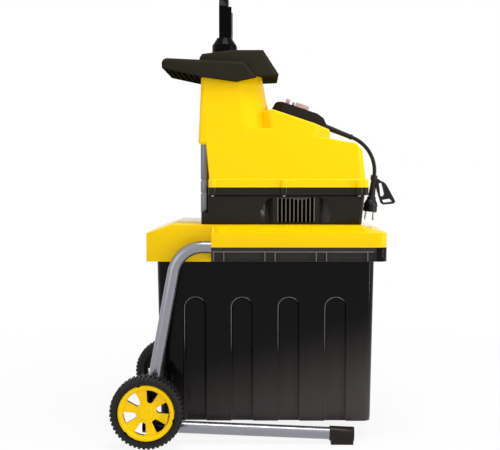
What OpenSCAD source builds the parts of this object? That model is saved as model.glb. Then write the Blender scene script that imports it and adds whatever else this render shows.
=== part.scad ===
// Garden shredder on a wheeled tube frame, with a collection box under the deck.
// Millimetres. X runs from the wheels to the front, Y to the left, Z up from the floor.

/* [Wheels] */
// Outer diameter of a wheel
wheel_d = 165; // [156:1:172]
// Width of a wheel
wheel_w = 45; // [40:1:48]
// Gap between a wheel and the bracket beside it
wheel_gap = 2.2; // [1.5:0.1:6]
// Distance of the axle behind the middle of the machine
axle_back = 229; // [226:1:236]
// Diameter of the axle
axle_d = 12; // [10:0.5:14]
// Diameter of the wheel cap
cap_d = 128; // [120:1:130]
// Number of lugs round one row of the tread
lugs = 48; // [40:2:56]

/* [Frame] */
// Diameter of the frame tubes
tube_d = 28; // [26:0.5:28.5]
// Wall thickness of the frame tubes
tube_wall = 1.5; // [1:0.1:2.5]
// Height of the upper tube run above the floor
run_z = 450; // [444:1:462]
// Distance of the upper tube corner behind the middle
corner_back = 161; // [156:1:166]
// Bend radius of the tube centre line
bend_r = 68; // [56:1:76]
// Front end of the feet, ahead of the middle
foot_front = 240; // [232:1:250]
// Length of a foot
foot_l = 56; // [46:1:66]

/* [Deck] */
// Gap between the box rim and the side rails
rail_gap = 6; // [4.5:0.5:9]
// Gap between the box and the walls of the narrow rear part of the deck
rear_gap = 4.5; // [2:0.5:5.5]
// Rear end of the deck behind the middle
deck_back = 235.5; // [230:0.5:240]
// Where the wide part of the deck starts, behind the middle
step_back = 84.5; // [80:0.5:90]
// Height of the upright deck edge
edge_h = 32.5; // [28:0.5:36]
// Height of the sloped part of the deck
slope_h = 15; // [12:0.5:18]
// Wall thickness of the large shells
shell_t = 3.5; // [2.5:0.1:4]

/* [Collection box] */
// Length of the box at the rim
box_l = 503; // [495:1:504]
// Width of the box at the rim
box_w = 314; // [290:1:340]
// Height of the box floor above the ground
box_z = 42; // [40:1:60]
// Draft of the box walls over their height
box_draft = 7; // [6:0.5:13]
// Wall thickness of the box
box_t = 3; // [2.5:0.1:3.5]
// Width of a flute in the box side
flute_w = 50; // [40:1:58]
// Depth of a flute
flute_deep = 5; // [3:0.5:6]

/* [Tower] */
// Height of the black base housing
base_h = 86; // [82:1:92]
// Width of the tower at the seam
seam_w = 300; // [280:1:312]
// Height of the yellow housing above the seam
tower_h = 255; // [252:1:264]
// Width of the tower at its top
top_w = 216; // [212:1:220]
// Slots in one vent
vent_slots = 9; // [7:1:9]
// Pitch of the vent slots
vent_pitch = 9.3; // [8.6:0.1:9.4]

/* [Cutting unit] */
// Height of the shafts above the deck
shaft_up = 111; // [108:0.5:113]
// Diameter of the cutting roller over its teeth
roller_d = 72; // [66:1:73]
// Number of teeth on the roller
roller_teeth = 8; // [6:1:10]
// Travel of the counter plate
plate_travel = 4.4; // [3:0.1:4.6]
// Diameter of the adjusting screw
adjust_d = 12; // [10:0.5:13]
// Diameter of the motor can
motor_d = 112; // [104:1:114]
// Module of the two fast gear pairs
module_fast = 1.5; // [1.4:0.05:1.5]
// Module of the slow gear pair
module_slow = 2; // [1.9:0.05:2]

/* [Hopper and plunger] */
// Height of the hopper hood above the tower top
hood_up = 63.5; // [58:0.5:70]
// Rear end of the hopper tray behind the middle
tray_back = 202; // [196:1:212]
// Thickness of the plunger body
plunger_t = 59; // [54:0.5:60]
// Height of the plunger above the tower top
plunger_up = 198; // [190:1:210]

/* [Switch and lead] */
// Slope of the switch pad in degrees
pad_slope = 18.7; // [17.5:0.1:19.2]
// Width of the switch box
switch_w = 90; // [84:1:100]
// Height of the switch box
switch_h = 29; // [28:0.5:31]
// Diameter of the mains lead
lead_d = 9.5; // [8:0.5:10]
// Bend radius of the hanging lead
lead_r = 88; // [80:1:96]
// Spacing of the plug pins
pin_gap = 19; // [18.8:0.1:19.2]

/* [Hidden] */
$fn = 48;
fit = 0.08;
gap = 0.3;
big = 900;
// the tooth numbers set the gear ratio, so they stay
teeth_small = 12;
teeth_large = 48;

axle_x = -axle_back;
axle_z = wheel_d / 2;
deck_front = axle_back + wheel_d / 2;
tube_r = tube_d / 2;
sleeve_r = tube_r + 2.8;
// across the machine: the box, the rails beside it, the tubes in the rails, then the wheels
box_y = box_w / 2;
rail_y0 = box_y + rail_gap;
tube_y = rail_y0 + tube_r + 9;
rail_y1 = tube_y + tube_r + 11;
deck_y = rail_y1 + 1;
rear_y = box_y + rear_gap + shell_t;
top_y = rear_y + 2;
y_in = tube_y + sleeve_r + wheel_gap;
y_out = y_in + wheel_w;

wheel_r = wheel_d / 2;
cap_r = cap_d / 2;
rim_r = cap_r + 2;
core_r = wheel_r - 3.5;
lug_a = 360 / lugs;

corner_x = -corner_back;
lean = atan2(corner_x - axle_x, run_z - axle_z);
turn = 90 - lean;
tan_l = bend_r * tan(turn / 2);
leg_l = norm([corner_x - axle_x, run_z - axle_z]);
leg_stop = axle_d / 2 + 10;
bend_lap = 1;
bend_swell = 0.2;
run_end = deck_front - 31;
rail_rear = 40;
rail_front = tube_r + 7;
low_x0 = axle_x - 10;
low_x1 = foot_front - 6;
fall = atan2(rail_rear - rail_front, low_x1 - low_x0);
low_l = norm([low_x1 - low_x0, rail_rear - rail_front]);

deck_z = run_z + 1.5;
edge_z = deck_z + edge_h;
deck_top = edge_z + slope_h;
rear_z = run_z - 35;
rail_z = run_z - 30.5;
slot_z0 = rail_z + 8.5;
slot_z1 = rail_z + 15;
rail_x1 = deck_front - 25.5;
rib_pitch = 115.2;
screw_x = [-55, 100, 250];

box_x1 = deck_front - 22;
box_x0 = box_x1 - box_l;
box_top = run_z - 10;
box_h = box_top - box_z;
flute_x = [-124, -16, 92, 200];
flute_top = box_z + 290;

lock_z = deck_z + 17.5;

base_z = deck_top;
seam_z = base_z + base_h;
top_z = seam_z + tower_h;
seam_y = seam_w / 2;
taper = (seam_w - top_w) / 2 / tower_h;
plate_top = seam_z + 98;
boss_x = [-84, 80.5, 253];
boss_r = 9.5;
band_h = 18;
boss_h = band_h;
lip_h = 20;
corner_r = 12;
vent_x = 108;
vent_half = 53;

shaft_z = base_z + shaft_up;
roller_x = -30;
plate_x = roller_x - roller_d / 2 - plate_travel - 3.1;
a_slow = module_slow * (teeth_small + teeth_large) / 2;
a_fast = module_fast * (teeth_small + teeth_large) / 2;
second_x = roller_x + a_slow;
first_x = second_x + a_fast;
motor_x = first_x + a_fast;
floor_z = base_z + 4;
inlet_z = plate_top + 1;
// from the tower wall inwards: the gear cover, three layers of gears, then the cutter walls
cover_y = seam_y - 24;
gear_end = cover_y - 4;
gc_y = gear_end - 7;
gb_y = gc_y - 10;
ga_y = gb_y - 13;
wall_y1 = ga_y - 8;
wall_y0 = wall_y1 - 12;
plunger_w = 2 * wall_y0 + 6;
feed_x = -60;

pad_x = 60;
pad_z = top_z - 76;
// the two buttons under the stop flap, down the pad from its upper end
start_x = 53.2;
stop_x = start_x + 14;
sleeve_p = [128, 8];
sleeve_q = [199, 4.5];
lead_turn = 75;
// straight piece of lead above the plug, and the plug's length
lead_end = 6.5;
plug_l = 84;

function pad_pt(p) = [pad_x + p[0] * cos(pad_slope) + p[1] * sin(pad_slope),
                      pad_z - p[0] * sin(pad_slope) + p[1] * cos(pad_slope)];
sleeve_l = norm(sleeve_q - sleeve_p);
lead_a = 90 - pad_slope - atan2(sleeve_p[1] - sleeve_q[1], sleeve_q[0] - sleeve_p[0]);
lead_p = pad_pt(sleeve_q);
lead_c = lead_p - lead_r * [cos(lead_a), sin(lead_a)];
plug_a = lead_a - lead_turn;
plug_p = lead_c + lead_r * [cos(plug_a), sin(plug_a)] + lead_end * [sin(plug_a), -cos(plug_a)];

// A polygon in X and Z, drawn out along Y from y0 to y1.
module prism_y(pts, y0, y1) {
    translate([0, y1, 0]) rotate([90, 0, 0]) linear_extrude(y1 - y0) polygon(pts);
}

// A polygon in Y and Z, drawn out along X from x0 to x1.
module prism_x(pts, x0, x1) {
    translate([x0, 0, 0]) rotate([90, 0, 90]) linear_extrude(x1 - x0) polygon(pts);
}

module block(p, q) {
    translate(p) cube(q - p);
}

// A round bar along Y at a place in X and Z.
module bar_y(x, z, r, y0, y1) {
    translate([x, y1, z]) rotate([90, 0, 0]) cylinder(r = r, h = y1 - y0);
}

module bar_x(y, z, r, x0, x1) {
    translate([x0, y, z]) rotate([0, 90, 0]) cylinder(r = r, h = x1 - x0);
}

module round_rect(x0, x1, y, r) {
    translate([x0 + r, -y]) square([x1 - x0 - 2 * r, 2 * y]);
    translate([x0, r - y]) square([x1 - x0, 2 * y - 2 * r]);
    for (x = [x0 + r, x1 - r], s = [-1, 1]) translate([x, s * (y - r)]) circle(r);
}

// A flat bar with round ends across the machine.
module stadium(t, w) {
    translate([-t / 2, -(w - t) / 2]) square([t, w - t]);
    for (s = [-1, 1]) translate([0, s * (w - t) / 2]) circle(d = t);
}

module both() {
    children();
    mirror([0, 1, 0]) children();
}

module side(s) {
    mirror([0, s > 0 ? 1 : 0, 0]) children();
}

// Places a wheel piece: local Z runs out to the right-hand wheel.
module at_wheel() {
    translate([axle_x, 0, axle_z]) rotate([90, 0, 0]) children();
}

function lug_pts() = [for (i = [0 : lugs - 1], k = [[-0.30, 0], [-0.24, 1], [0.24, 1], [0.30, 0]])
    let (r = k[1] > 0 ? wheel_r : core_r - 0.5, a = (i + k[0]) * lug_a) [r * cos(a), r * sin(a)]];

module lug_row(z0, z1, a) {
    translate([0, 0, z0]) rotate([0, 0, a]) linear_extrude(z1 - z0) difference() {
        polygon(lug_pts());
        circle(core_r - 3);
    }
}

module tyre(s) {
    mid = (y_in + y_out) / 2;
    color("#2D2A2D") side(s) at_wheel() {
        rotate_extrude() polygon([[rim_r, y_in], [core_r - 5, y_in], [core_r, y_in + 5],
            [core_r, y_out - 5], [core_r - 5, y_out], [rim_r, y_out]]);
        lug_row(y_in + 3, mid - 1.5, 0);
        lug_row(mid + 1.5, y_out - 3, lug_a / 2);
    }
}

module wheel_windows(grow) {
    for (i = [0 : 5]) rotate([0, 0, 13 + 60 * i]) {
        polygon([[29, -7 - grow], [50.5 + grow, -14 - grow], [52 + grow, 0], [50.5 + grow, 14 + grow],
            [29, 7 + grow]]);
        translate([30, 0]) circle(7 + grow);
    }
}

module wheel_disc(s) {
    color("#232123") side(s) at_wheel() difference() {
        union() {
            translate([0, 0, y_in]) difference() {
                cylinder(r = rim_r, h = wheel_w - 8.2);
                translate([0, 0, -1]) cylinder(r = rim_r - 5, h = wheel_w);
            }
            translate([0, 0, y_out - 22]) linear_extrude(10) difference() {
                circle(rim_r - 4);
                wheel_windows(0.6);
            }
            translate([0, 0, y_in]) cylinder(r = 17, h = wheel_w - 12);
        }
        translate([0, 0, y_in - 1]) cylinder(d = axle_d + 2 * fit, h = wheel_w);
        translate([0, 0, y_out - 20]) cylinder(r = 13, h = 20);
    }
}

module wheel_cap(s) {
    color("#FFD500") side(s) at_wheel() {
        difference() {
            translate([0, 0, y_out - 12]) linear_extrude(4.5) difference() {
                circle(cap_r - 4);
                wheel_windows(0);
            }
            translate([0, 0, y_out - 13]) cylinder(r = axle_d / 2 + 1, h = 2);
        }
        translate([0, 0, y_out - 8]) linear_extrude(7) difference() {
            circle(cap_r);
            circle(cap_r - 9.5);
            for (a = [-15, 105, 225]) rotate([0, 0, a]) translate([cap_r - 2.5, -4]) square([6, 8]);
        }
        translate([0, 0, y_out - 8]) cylinder(r = 15.6, h = 2);
    }
}

module axle() {
    color("#B9BCC0") bar_y(axle_x, axle_z, axle_d / 2, 14 - y_out, y_out - 14);
}

module axle_clips() {
    color("#9A9DA1") both() at_wheel() translate([0, 0, y_out - 19.4]) difference() {
        cylinder(r = axle_d / 2 + 5, h = 2);
        translate([0, 0, -1]) cylinder(r = axle_d / 2 + 0.03, h = 4);
    }
}

// The bent run and leg of one frame tube, at a radius r and longer by e at both ends.
module tube_path(r, e) {
    translate([corner_x + tan_l - bend_lap, -tube_y, run_z]) rotate([0, 90, 0])
        cylinder(r = r + bend_swell, h = run_end + e - corner_x - tan_l + bend_lap);
    translate([corner_x + tan_l, -tube_y, run_z - bend_r]) rotate([90, 0, 0]) rotate([0, 0, 90])
        rotate_extrude(angle = turn) translate([bend_r, 0]) circle(r);
    translate([axle_x, -tube_y, axle_z]) rotate([0, lean, 0]) translate([0, 0, leg_stop - e])
        cylinder(r = r + bend_swell, h = leg_l - tan_l - leg_stop + e + bend_lap);
}

module frame_tube(s) {
    color("#C8CACD") side(s) difference() {
        tube_path(tube_r, 0);
        tube_path(tube_r - tube_wall, 1);
        for (x = screw_x) translate([x, -tube_y, run_z - tube_d]) cylinder(r = 2.7, h = 2 * tube_d);
    }
}

// Places a piece on the lower tube: local Z runs forward along it.
module at_low() {
    translate([low_x0, -tube_y, rail_rear]) rotate([0, 90 + fall, 0]) children();
}

module lower_tube(s) {
    color("#C8CACD") side(s) at_low() difference() {
        cylinder(r = tube_r, h = low_l);
        translate([0, 0, -1]) cylinder(r = tube_r - tube_wall, h = low_l + 2);
    }
}

module axle_bracket(s) {
    color("#2B2826") side(s) difference() {
        union() {
            translate([axle_x, -tube_y, axle_z]) rotate([0, lean, 0]) translate([0, 0, -12])
                cylinder(r = sleeve_r, h = leg_stop + 52);
            bar_y(axle_x, axle_z, sleeve_r, -tube_y - sleeve_r, -tube_y + sleeve_r);
            at_low() translate([0, 0, -4]) cylinder(r = sleeve_r, h = 70);
            block([axle_x - 14, -tube_y - 10, rail_rear], [axle_x + 14, -tube_y + 10, axle_z]);
        }
        translate([axle_x, -tube_y, axle_z]) rotate([0, lean, 0]) translate([0, 0, leg_stop])
            cylinder(r = tube_r + bend_swell + 0.05, h = 90);
        at_low() cylinder(r = tube_r + 0.05, h = 90);
        bar_y(axle_x, axle_z, axle_d / 2 + 0.05, -tube_y - 30, -tube_y + 30);
    }
}

module foot(s) {
    color("#2B2826") side(s) difference() {
        union() {
            at_low() translate([0, 0, low_l + 6 - foot_l]) cylinder(r = sleeve_r, h = foot_l);
            block([foot_front - foot_l + 3, -tube_y - sleeve_r + 1, 0],
                  [foot_front - 2, -tube_y + sleeve_r - 1, rail_front]);
        }
        at_low() cylinder(r = tube_r + 0.05, h = low_l + 0.05);
    }
}

// Half of one side rail's section, seen from the rear, on the left-hand side.
module rail_section() {
    difference() {
        translate([rail_y0, rail_z]) square([rail_y1 - rail_y0, deck_z - 0.6 - rail_z]);
        translate([tube_y, run_z]) circle(tube_r + bend_swell + 0.1);
        translate([rail_y0 - 1, slot_z0]) square([12, slot_z1 - slot_z0]);
    }
}

module side_rail(s) {
    color("#2B2826") side(-s) difference() {
        translate([-step_back, 0, 0]) rotate([90, 0, 90])
            linear_extrude(rail_x1 + step_back) rail_section();
        for (i = [0 : 3]) {
            x = -67.5 + rib_pitch * i;
            block([x - 9.5, rail_y1 - 5, rail_z + 1.5],
                  [min(x + 9.5, rail_x1 - 2), rail_y1 + 1, run_z - 9]);
            if (i < 3) block([x + 13.5, rail_y1 - 5, rail_z + 1.5],
                             [x + rib_pitch - 13.5, rail_y1 + 1, run_z - 9]);
        }
        for (x = screw_x) translate([x, tube_y, rail_z - 1]) {
            cylinder(r = 2.7, h = 60);
            cylinder(r = 5.2, h = 6);
        }
    }
}

module deck_screws() {
    color("#8C8F93") both() for (x = screw_x) translate([x, tube_y, rail_z + 1]) {
        cylinder(r = 5, h = 3.9);
        cylinder(r = 2.4, h = 56);
    }
}

module wide_solid(i) {
    hull() {
        translate([0, 0, deck_z - (i > 0 ? 2 : 0)]) linear_extrude(edge_h - i / 2 + (i > 0 ? 2 : 0))
            round_rect(-step_back + i, deck_front - i, deck_y - i, 22 - i);
        translate([0, 0, deck_top - 0.5 - i]) linear_extrude(0.5)
            round_rect(-step_back + i, deck_front - 53, top_y, 8);
    }
    if (i == 0) block([-step_back, -deck_y, deck_z], [-step_back + 30, deck_y, edge_z]);
}

module rear_solid(i) {
    x0 = i - deck_back;
    x1 = 6 - step_back - i;
    x2 = -step_back - gap - i;
    prism_y([[x0, rear_z - i], [x0, edge_z - 4 - i], [58 - deck_back + i / 3, deck_top - i],
        [x1, deck_top - i], [x1, deck_z], [x2, deck_z], [x2, rear_z - i]], i - rear_y, rear_y - i);
}

module chip_hole(e, z0, z1) {
    y = wall_y0 - 2 + e;
    block([roller_x - 52 - e, -y, z0], [roller_x + 38 + e, y, z1]);
}

module deck_cover() {
    color("#FFD500") difference() {
        union() {
            difference() {
                union() {
                    wide_solid(0);
                    rear_solid(0);
                }
                wide_solid(shell_t);
                rear_solid(shell_t);
                // opens the rear part into the wide part above the box
                block([-step_back - 12, shell_t - rear_y, rear_z - 9],
                      [-step_back + 12, rear_y - shell_t, deck_top - shell_t - 1]);
            }
            intersection() {
                union() {
                    wide_solid(0);
                }
                both() for (x = screw_x)
                    block([x - 12, tube_y - 18, deck_z], [x + 12, tube_y + 19, deck_top - 1]);
            }
            bar_x(0, lock_z, 17.4, deck_front - 15.5, deck_front - 1);
        }
        chip_hole(2, deck_top - 20, deck_top + 1);
        both() translate([-step_back - 2, tube_y, run_z]) rotate([0, 90, 0])
            cylinder(r = tube_r + bend_swell + 0.1, h = run_end + step_back + 8);
        both() for (x = screw_x) translate([x, tube_y, run_z]) cylinder(r = 2.45, h = 28.5);
        bar_x(0, lock_z, 15.4, deck_front - 12, deck_front + 1);
        bar_x(0, lock_z, 4 + fit, deck_front - 20, deck_front);
        // three shallow dents along each sloped edge
        both() for (i = [0 : 2]) translate([-12 + 115 * i, deck_y - 17, edge_z + 5.2])
            rotate([-atan2(slope_h, deck_y - top_y), 0, 0]) translate([-39, -9, -1.2]) cube([78, 20, 9]);
    }
}

module box_lock() {
    color("#C8201C") {
        bar_x(0, lock_z, 14, deck_front - 11.4, deck_front - 5);
        block([deck_front - 6, -12, lock_z - 3], [deck_front - 0.8, 12, lock_z + 3]);
        bar_x(0, lock_z, 4, deck_front - 24, deck_front - 9);
        block([deck_front - 23.5, -5, lock_z - 4], [deck_front - 17.5, 24, lock_z + 4]);
    }
}

module interlock_switch() {
    color("#1C1B1C") difference() {
        block([deck_front - 27.5, -34, lock_z - 7], [deck_front - shell_t, -22, lock_z + 11]);
        block([deck_front - 24, -40, lock_z - 3], [deck_front - 15, -31, lock_z + 7]);
    }
}

module box_solid(i) {
    hull() {
        translate([0, 0, box_top - 1 + i]) linear_extrude(1)
            round_rect(box_x0 + i, box_x1 - i, box_y - i, 22 - i);
        translate([0, 0, box_z + i]) linear_extrude(1)
            round_rect(box_x0 + box_draft + i, box_x1 - box_draft - i, box_y - box_draft * 0.8 - i, 20 - i);
    }
}

// One flute, grown by e, at the left-hand wall.
module flute(e) {
    rotate([-atan(box_draft * 0.8 / box_h), 0, 0])
        translate([0, 30, 0]) rotate([90, 0, 0]) linear_extrude(30 + flute_deep + e) {
            translate([-flute_w / 2 - e, -20])
                square([flute_w + 2 * e, flute_top - box_z - flute_w / 2 + 20]);
            translate([0, flute_top - box_z - flute_w / 2]) circle(flute_w / 2 + e);
        }
}

module flutes(e) {
    both() for (x = flute_x) translate([x, box_y - box_draft * 0.8, box_z]) flute(e);
}

module collection_box() {
    color("#1C191B") {
        difference() {
            box_solid(0);
            flutes(0);
            difference() {
                box_solid(box_t);
                flutes(box_t);
            }
        }
        both() block([-step_back + 4, box_y - 2, slot_z0 + gap], [box_x1 - 10, box_y + 5.5, slot_z0 + 4.8]);
        both() block([-step_back + 4, box_y + 5, slot_z0 + gap], [box_x1 - 3, rail_y0 + 9.5, slot_z0 + 4.8]);
        difference() {
            lip_bar();
            block([deck_front - 20, -110, rail_z - 1], [deck_front - 4, 110, run_z - 10]);
            block([deck_front - 26, -7, run_z - 8], [deck_front - 14, 21, run_z + 9]);
        }
    }
}

module lip_bar() {
    translate([0, 0, rail_z]) linear_extrude(deck_z - 0.6 - rail_z) difference() {
        round_rect(deck_front - 60, deck_front, rail_y1, 22);
        translate([deck_front - 61, -big / 2]) square([61 - 24.5, big]);
    }
}

function taper_pts(i) = let (y0 = seam_y + taper * 120 - i, y1 = seam_y - taper * 300 - i)
    [[-y0, seam_z - 120], [y0, seam_z - 120], [y1, seam_z + 300], [-y1, seam_z + 300]];

module base_solid(i) {
    r = corner_r - i;
    hull() {
        translate([0, 0, base_z + (i > 0 ? 4 : 0)]) linear_extrude(0.1)
            round_rect(-111.5 + i, 260.5 - i, seam_y - 7 - i, r);
        translate([0, 0, seam_z + i - 0.1]) linear_extrude(0.1)
            round_rect(-111.5 + i, 268.5 - i, seam_y - i, r);
    }
}

// The two hollows beside the vent slots, on the right-hand side.
module vent_hollows(e) {
    u = vent_half;
    side(1) for (k = [0, 1]) translate([vent_x, 0, 0]) mirror([k, 0, 0]) intersection() {
        prism_y([[u - e, base_z + 4 - e], [u + 29 + e, base_z + 4 - e], [u + 28 + e, base_z + 30],
            [u + 23 + e, base_z + 46 + e / 2], [u + 13 + e / 2, base_z + 58 + e], [u - e, base_z + 64 + e]],
            seam_y - 40, seam_y + 20);
        linear_extrude(2 * big) polygon([[u - e, seam_y + 20], [u - e, seam_y - 16 - e],
            [u + 7, seam_y - 16 - e], [u + 19 + e / 2, seam_y - 11 - e], [u + 29 + e, seam_y - 4 - e / 2],
            [u + 29 + e, seam_y + 20]]);
    }
}

module base_housing() {
    color("#2B2826") difference() {
        union() {
            base_solid(0);
            translate([0, 0, seam_z - band_h]) linear_extrude(band_h)
                round_rect(-95, 275.5, seam_y + 2, corner_r);
            both() for (x = boss_x) translate([x, seam_y, seam_z - boss_h]) cylinder(r = boss_r, h = boss_h);
        }
        difference() {
            base_solid(shell_t);
            vent_hollows(shell_t);
        }
        vent_hollows(0);
        block([-130, -big / 2, base_z + 28], [-95, big / 2, seam_z + 1]);
        chip_hole(0, base_z - 1, base_z + 5);
        side(1) for (k = [0 : vent_slots - 1])
            translate([vent_x + (k - (vent_slots - 1) / 2) * vent_pitch - 2.7, seam_y - 16, base_z + 5])
                cube([5.4, 30, base_h - 28]);
        both() for (x = boss_x) translate([x, seam_y + 2.5, seam_z - boss_h - 1]) cylinder(r = 2.05, h = 30);
    }
}

module chimney(i) {
    z = top_z + (i > 0 ? 1 : 0);
    intersection() {
        prism_y([[-118 + i, plate_top + i], [-112.5 + i, z], [30 - i, z], [44 - i, top_z - 78],
            [60 - i, plate_top + i]], -big / 2, big / 2);
        prism_x(taper_pts(i), -big / 2, big / 2);
        chamfer_keep(i);
    }
}

// What the two sloped corner cuts of the tower leave.
module chamfer_keep(i) {
    difference() {
        block([-big / 2, -big / 2, 0], [big / 2, big / 2, 2 * big]);
        both() translate([-21, top_w / 2, top_z - 11]) rotate([0, -13.26, 45])
            translate([-i, -big / 2, -big / 2]) cube([big, big, big]);
    }
}

module hood(i) {
    intersection() {
        prism_y([[-90 + i, seam_z - (i > 0 ? 1 : 0)], [-100 + i, plate_top], [-100 + i, plate_top + 42 - i],
            [44, top_z - 100 - i], [222 - i / 2, top_z - 148.5 - i], [245 - i / 2, top_z - 151.5 - i],
            [255 - i * 0.7, top_z - 155 - i * 0.7], [261.5 - i, top_z - 163 - i / 2], [266 - i, top_z - 183],
            [271 - i, seam_z + 20], [271.5 - i, seam_z - (i > 0 ? 1 : 0)]],
            -big / 2, big / 2);
        prism_x(taper_pts(i), -big / 2, big / 2);
    }
}

module pad(i) {
    x1 = 190 - i;
    left = i > 0 ? [[45, big / 2], [45, 80], [30, 80], [30, -80], [45, -80], [45, -big / 2]]
                 : [[41.5, big / 2], [41.5, -big / 2]];
    intersection() {
        prism_y([[30, top_z - 150], [30, pad_z + (pad_x - 30) * tan(pad_slope) - i * 1.06],
            [x1, pad_z - (x1 - pad_x) * tan(pad_slope) - i * 1.06], [x1, top_z - 150]], -big / 2, big / 2);
        prism_x(taper_pts(i), -big / 2, big / 2);
        linear_extrude(2 * big) polygon(concat(left, [[160 - i, -big / 2], [160 - i, i - 118], [x1, i - 84],
            [x1, 84 - i], [160 - i, 118 - i], [160 - i, big / 2]]));
    }
}

// The lip round the foot of the yellow housing.
module seam_lip() {
    hull() {
        translate([0, 0, seam_z]) linear_extrude(0.1) round_rect(-94, 276, seam_y + 2, corner_r);
        translate([0, 0, seam_z + lip_h - 0.1]) linear_extrude(0.1)
            round_rect(-94, 274.5, seam_y + 2 - taper * lip_h, corner_r);
    }
}

module upper_housing() {
    color("#FFD500") difference() {
        union() {
            difference() {
                union() {
                    chimney(0);
                    hood(0);
                    pad(0);
                    seam_lip();
                }
                chimney(shell_t);
                hood(shell_t);
                pad(shell_t);
            }
            intersection() {
                both() for (x = boss_x) translate([x, seam_y, seam_z]) cylinder(r = boss_r, h = boss_h);
                block([-94, -big / 2, seam_z], [276, big / 2, top_z]);
            }
        }
        block([-130, 21.4 - seam_y, seam_z - 1], [-86, seam_y - 21.4, plate_top + gap]);
        both() for (x = boss_x) translate([x, seam_y + 2.5, seam_z - 1]) cylinder(r = 2.05, h = boss_h - 2);
        at_pad() translate([60, 0, -6]) cylinder(r = 8, h = 12);
    }
}

module seam_screws() {
    color("#8C8F93") both() for (x = boss_x) translate([x, seam_y + 2.5, seam_z - boss_h - 2.8]) {
        cylinder(r = 3.6, h = 2.6);
        cylinder(r = 2, h = 2 * boss_h - 2);
    }
}

module front_plate() {
    h = plate_top - base_z - 28;
    color("#C4C6C8") difference() {
        translate([0, 0, base_z + 28]) linear_extrude(h) round_rect(-113, -92, seam_y - 22, 9);
        for (z = [72, 102]) translate([0, 0, base_z + z - 1.5]) linear_extrude(3) difference() {
            translate([-130, -140]) square([60, 280]);
            round_rect(-111, -92, seam_y - 24, 8);
        }
        bar_x(0, shaft_z, adjust_d / 2 + fit, -120, -80);
        bar_x(0, shaft_z, 10.6, -120, -103.5);
        both() block([-96, 30, base_z + 40], [-90, seam_y - 40, plate_top - 20]);
    }
}

module cutter_housing() {
    color("#A9ACAF") difference() {
        block([-92, -wall_y1, floor_z], [18, wall_y1, inlet_z]);
        block([-84, -wall_y0, floor_z - 1], [11, wall_y0, inlet_z - 8]);
        block([feed_x - 25, 2 - wall_y0, inlet_z - 9], [feed_x + 25, wall_y0 - 2, inlet_z + 1]);
        bar_y(roller_x, shaft_z, 21.03, -wall_y1 - 1, wall_y1 + 1);
        bar_x(0, shaft_z, adjust_d / 2 + fit, -95, -80);
    }
}

function roller_pts() = [for (i = [0 : roller_teeth - 1], k = [[0, 0], [0.30, 0], [0.34, 1], [0.44, 1]])
    let (r = k[1] > 0 ? roller_d / 2 : roller_d / 2 - 9, a = (i + k[0] * 2) * 360 / roller_teeth)
    [r * cos(a), r * sin(a)]];

module cutting_roller() {
    color("#8E9195") {
        translate([roller_x, wall_y0 - 2, shaft_z]) rotate([90, 0, 0]) linear_extrude(2 * wall_y0 - 4)
            polygon(roller_pts());
        bar_y(roller_x, shaft_z, 10, -wall_y1 + 0.6, ga_y - 0.5);
    }
}

module roller_bearings() {
    color("#B9BCC0") both() difference() {
        bar_y(roller_x, shaft_z, 21, wall_y0 + 0.5, wall_y1);
        bar_y(roller_x, shaft_z, 10.05, wall_y0 - 1, wall_y1 + 1);
    }
}

module counter_plate() {
    color("#9FA2A5") difference() {
        block([-83.4, gap - wall_y0, shaft_z - 42], [plate_x, wall_y0 - gap, shaft_z + 42]);
        bar_x(0, shaft_z, adjust_d / 2 + fit, -90, plate_x - 1.7);
    }
}

module adjusting_screw() {
    color("#6F7276") difference() {
        union() {
            bar_x(0, shaft_z, 10, -112.4, -103.8);
            bar_x(0, shaft_z, adjust_d / 2, -104, plate_x - 2.3);
        }
        translate([-107, 0, shaft_z]) rotate([0, -90, 0]) cylinder(r = 5, h = 10, $fn = 6);
    }
}

module motor_can() {
    color("#A4A7AA") difference() {
        bar_y(motor_x, shaft_z, motor_d / 2, -92, wall_y1);
        bar_y(motor_x, shaft_z, motor_d / 2 - 3, -86, wall_y1 - 6);
        bar_y(motor_x, shaft_z, 6 + fit, -100, wall_y1 + 2);
    }
}

module motor_stator() {
    color("#7D6A52") difference() {
        bar_y(motor_x, shaft_z, motor_d / 2 - 3, -60, 56);
        bar_y(motor_x, shaft_z, 31, -70, 66);
    }
}

// A spur gear outline with teeth n of module m, thinned by b for backlash.
function flank(m, n, r) = let (rb = m * n / 2 * cos(25), p = acos(min(1, rb / r)))
    tan(p) * 180 / PI - p;
function gear_pts(m, n, b) = let (rp = m * n / 2, rb = rp * cos(25), rf = rp - 1.25 * m,
    ra = rp + 0.95 * m, r0 = max(rb, rf), half = 90 / n - b / rp * 180 / PI + flank(m, n, rp),
    rr = [r0, r0 + (ra - r0) * 0.35, r0 + (ra - r0) * 0.7, ra])
    [for (i = [0 : n - 1]) let (c = i * 360 / n) each concat(
        [[rf, c - half]], [for (r = rr) [r, c - half + flank(m, n, r)]],
        [for (j = [3 : -1 : 0]) [rr[j], c + half - flank(m, n, rr[j])]], [[rf, c + half]])];
function polar(l) = [for (p = l) [p[0] * cos(p[1]), p[0] * sin(p[1])]];

module spur(x, m, n, y0, y1, a) {
    translate([x, y1, shaft_z]) rotate([90, 0, 0]) rotate([0, 0, a]) linear_extrude(y1 - y0)
        polygon(polar(gear_pts(m, n, 0.16)));
}

module motor_rotor() {
    color("#8A8D90") {
        bar_y(motor_x, shaft_z, 30, -55, 51);
        bar_y(motor_x, shaft_z, 6, -112, gear_end);
        spur(motor_x, module_fast, teeth_small, gc_y, gear_end, 180 / teeth_small);
    }
}

module motor_fan() {
    color("#3A3B3D") difference() {
        union() {
            bar_y(motor_x, shaft_z, 12, -112, -97);
            bar_y(motor_x, shaft_z, 46, -100, -97);
            for (k = [0 : 8]) translate([motor_x, 0, shaft_z]) rotate([0, 40 * k, 0])
                block([10, -112, -1.2], [46, -99, 1.2]);
        }
        bar_y(motor_x, shaft_z, 6.02, -120, -90);
    }
}

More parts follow.
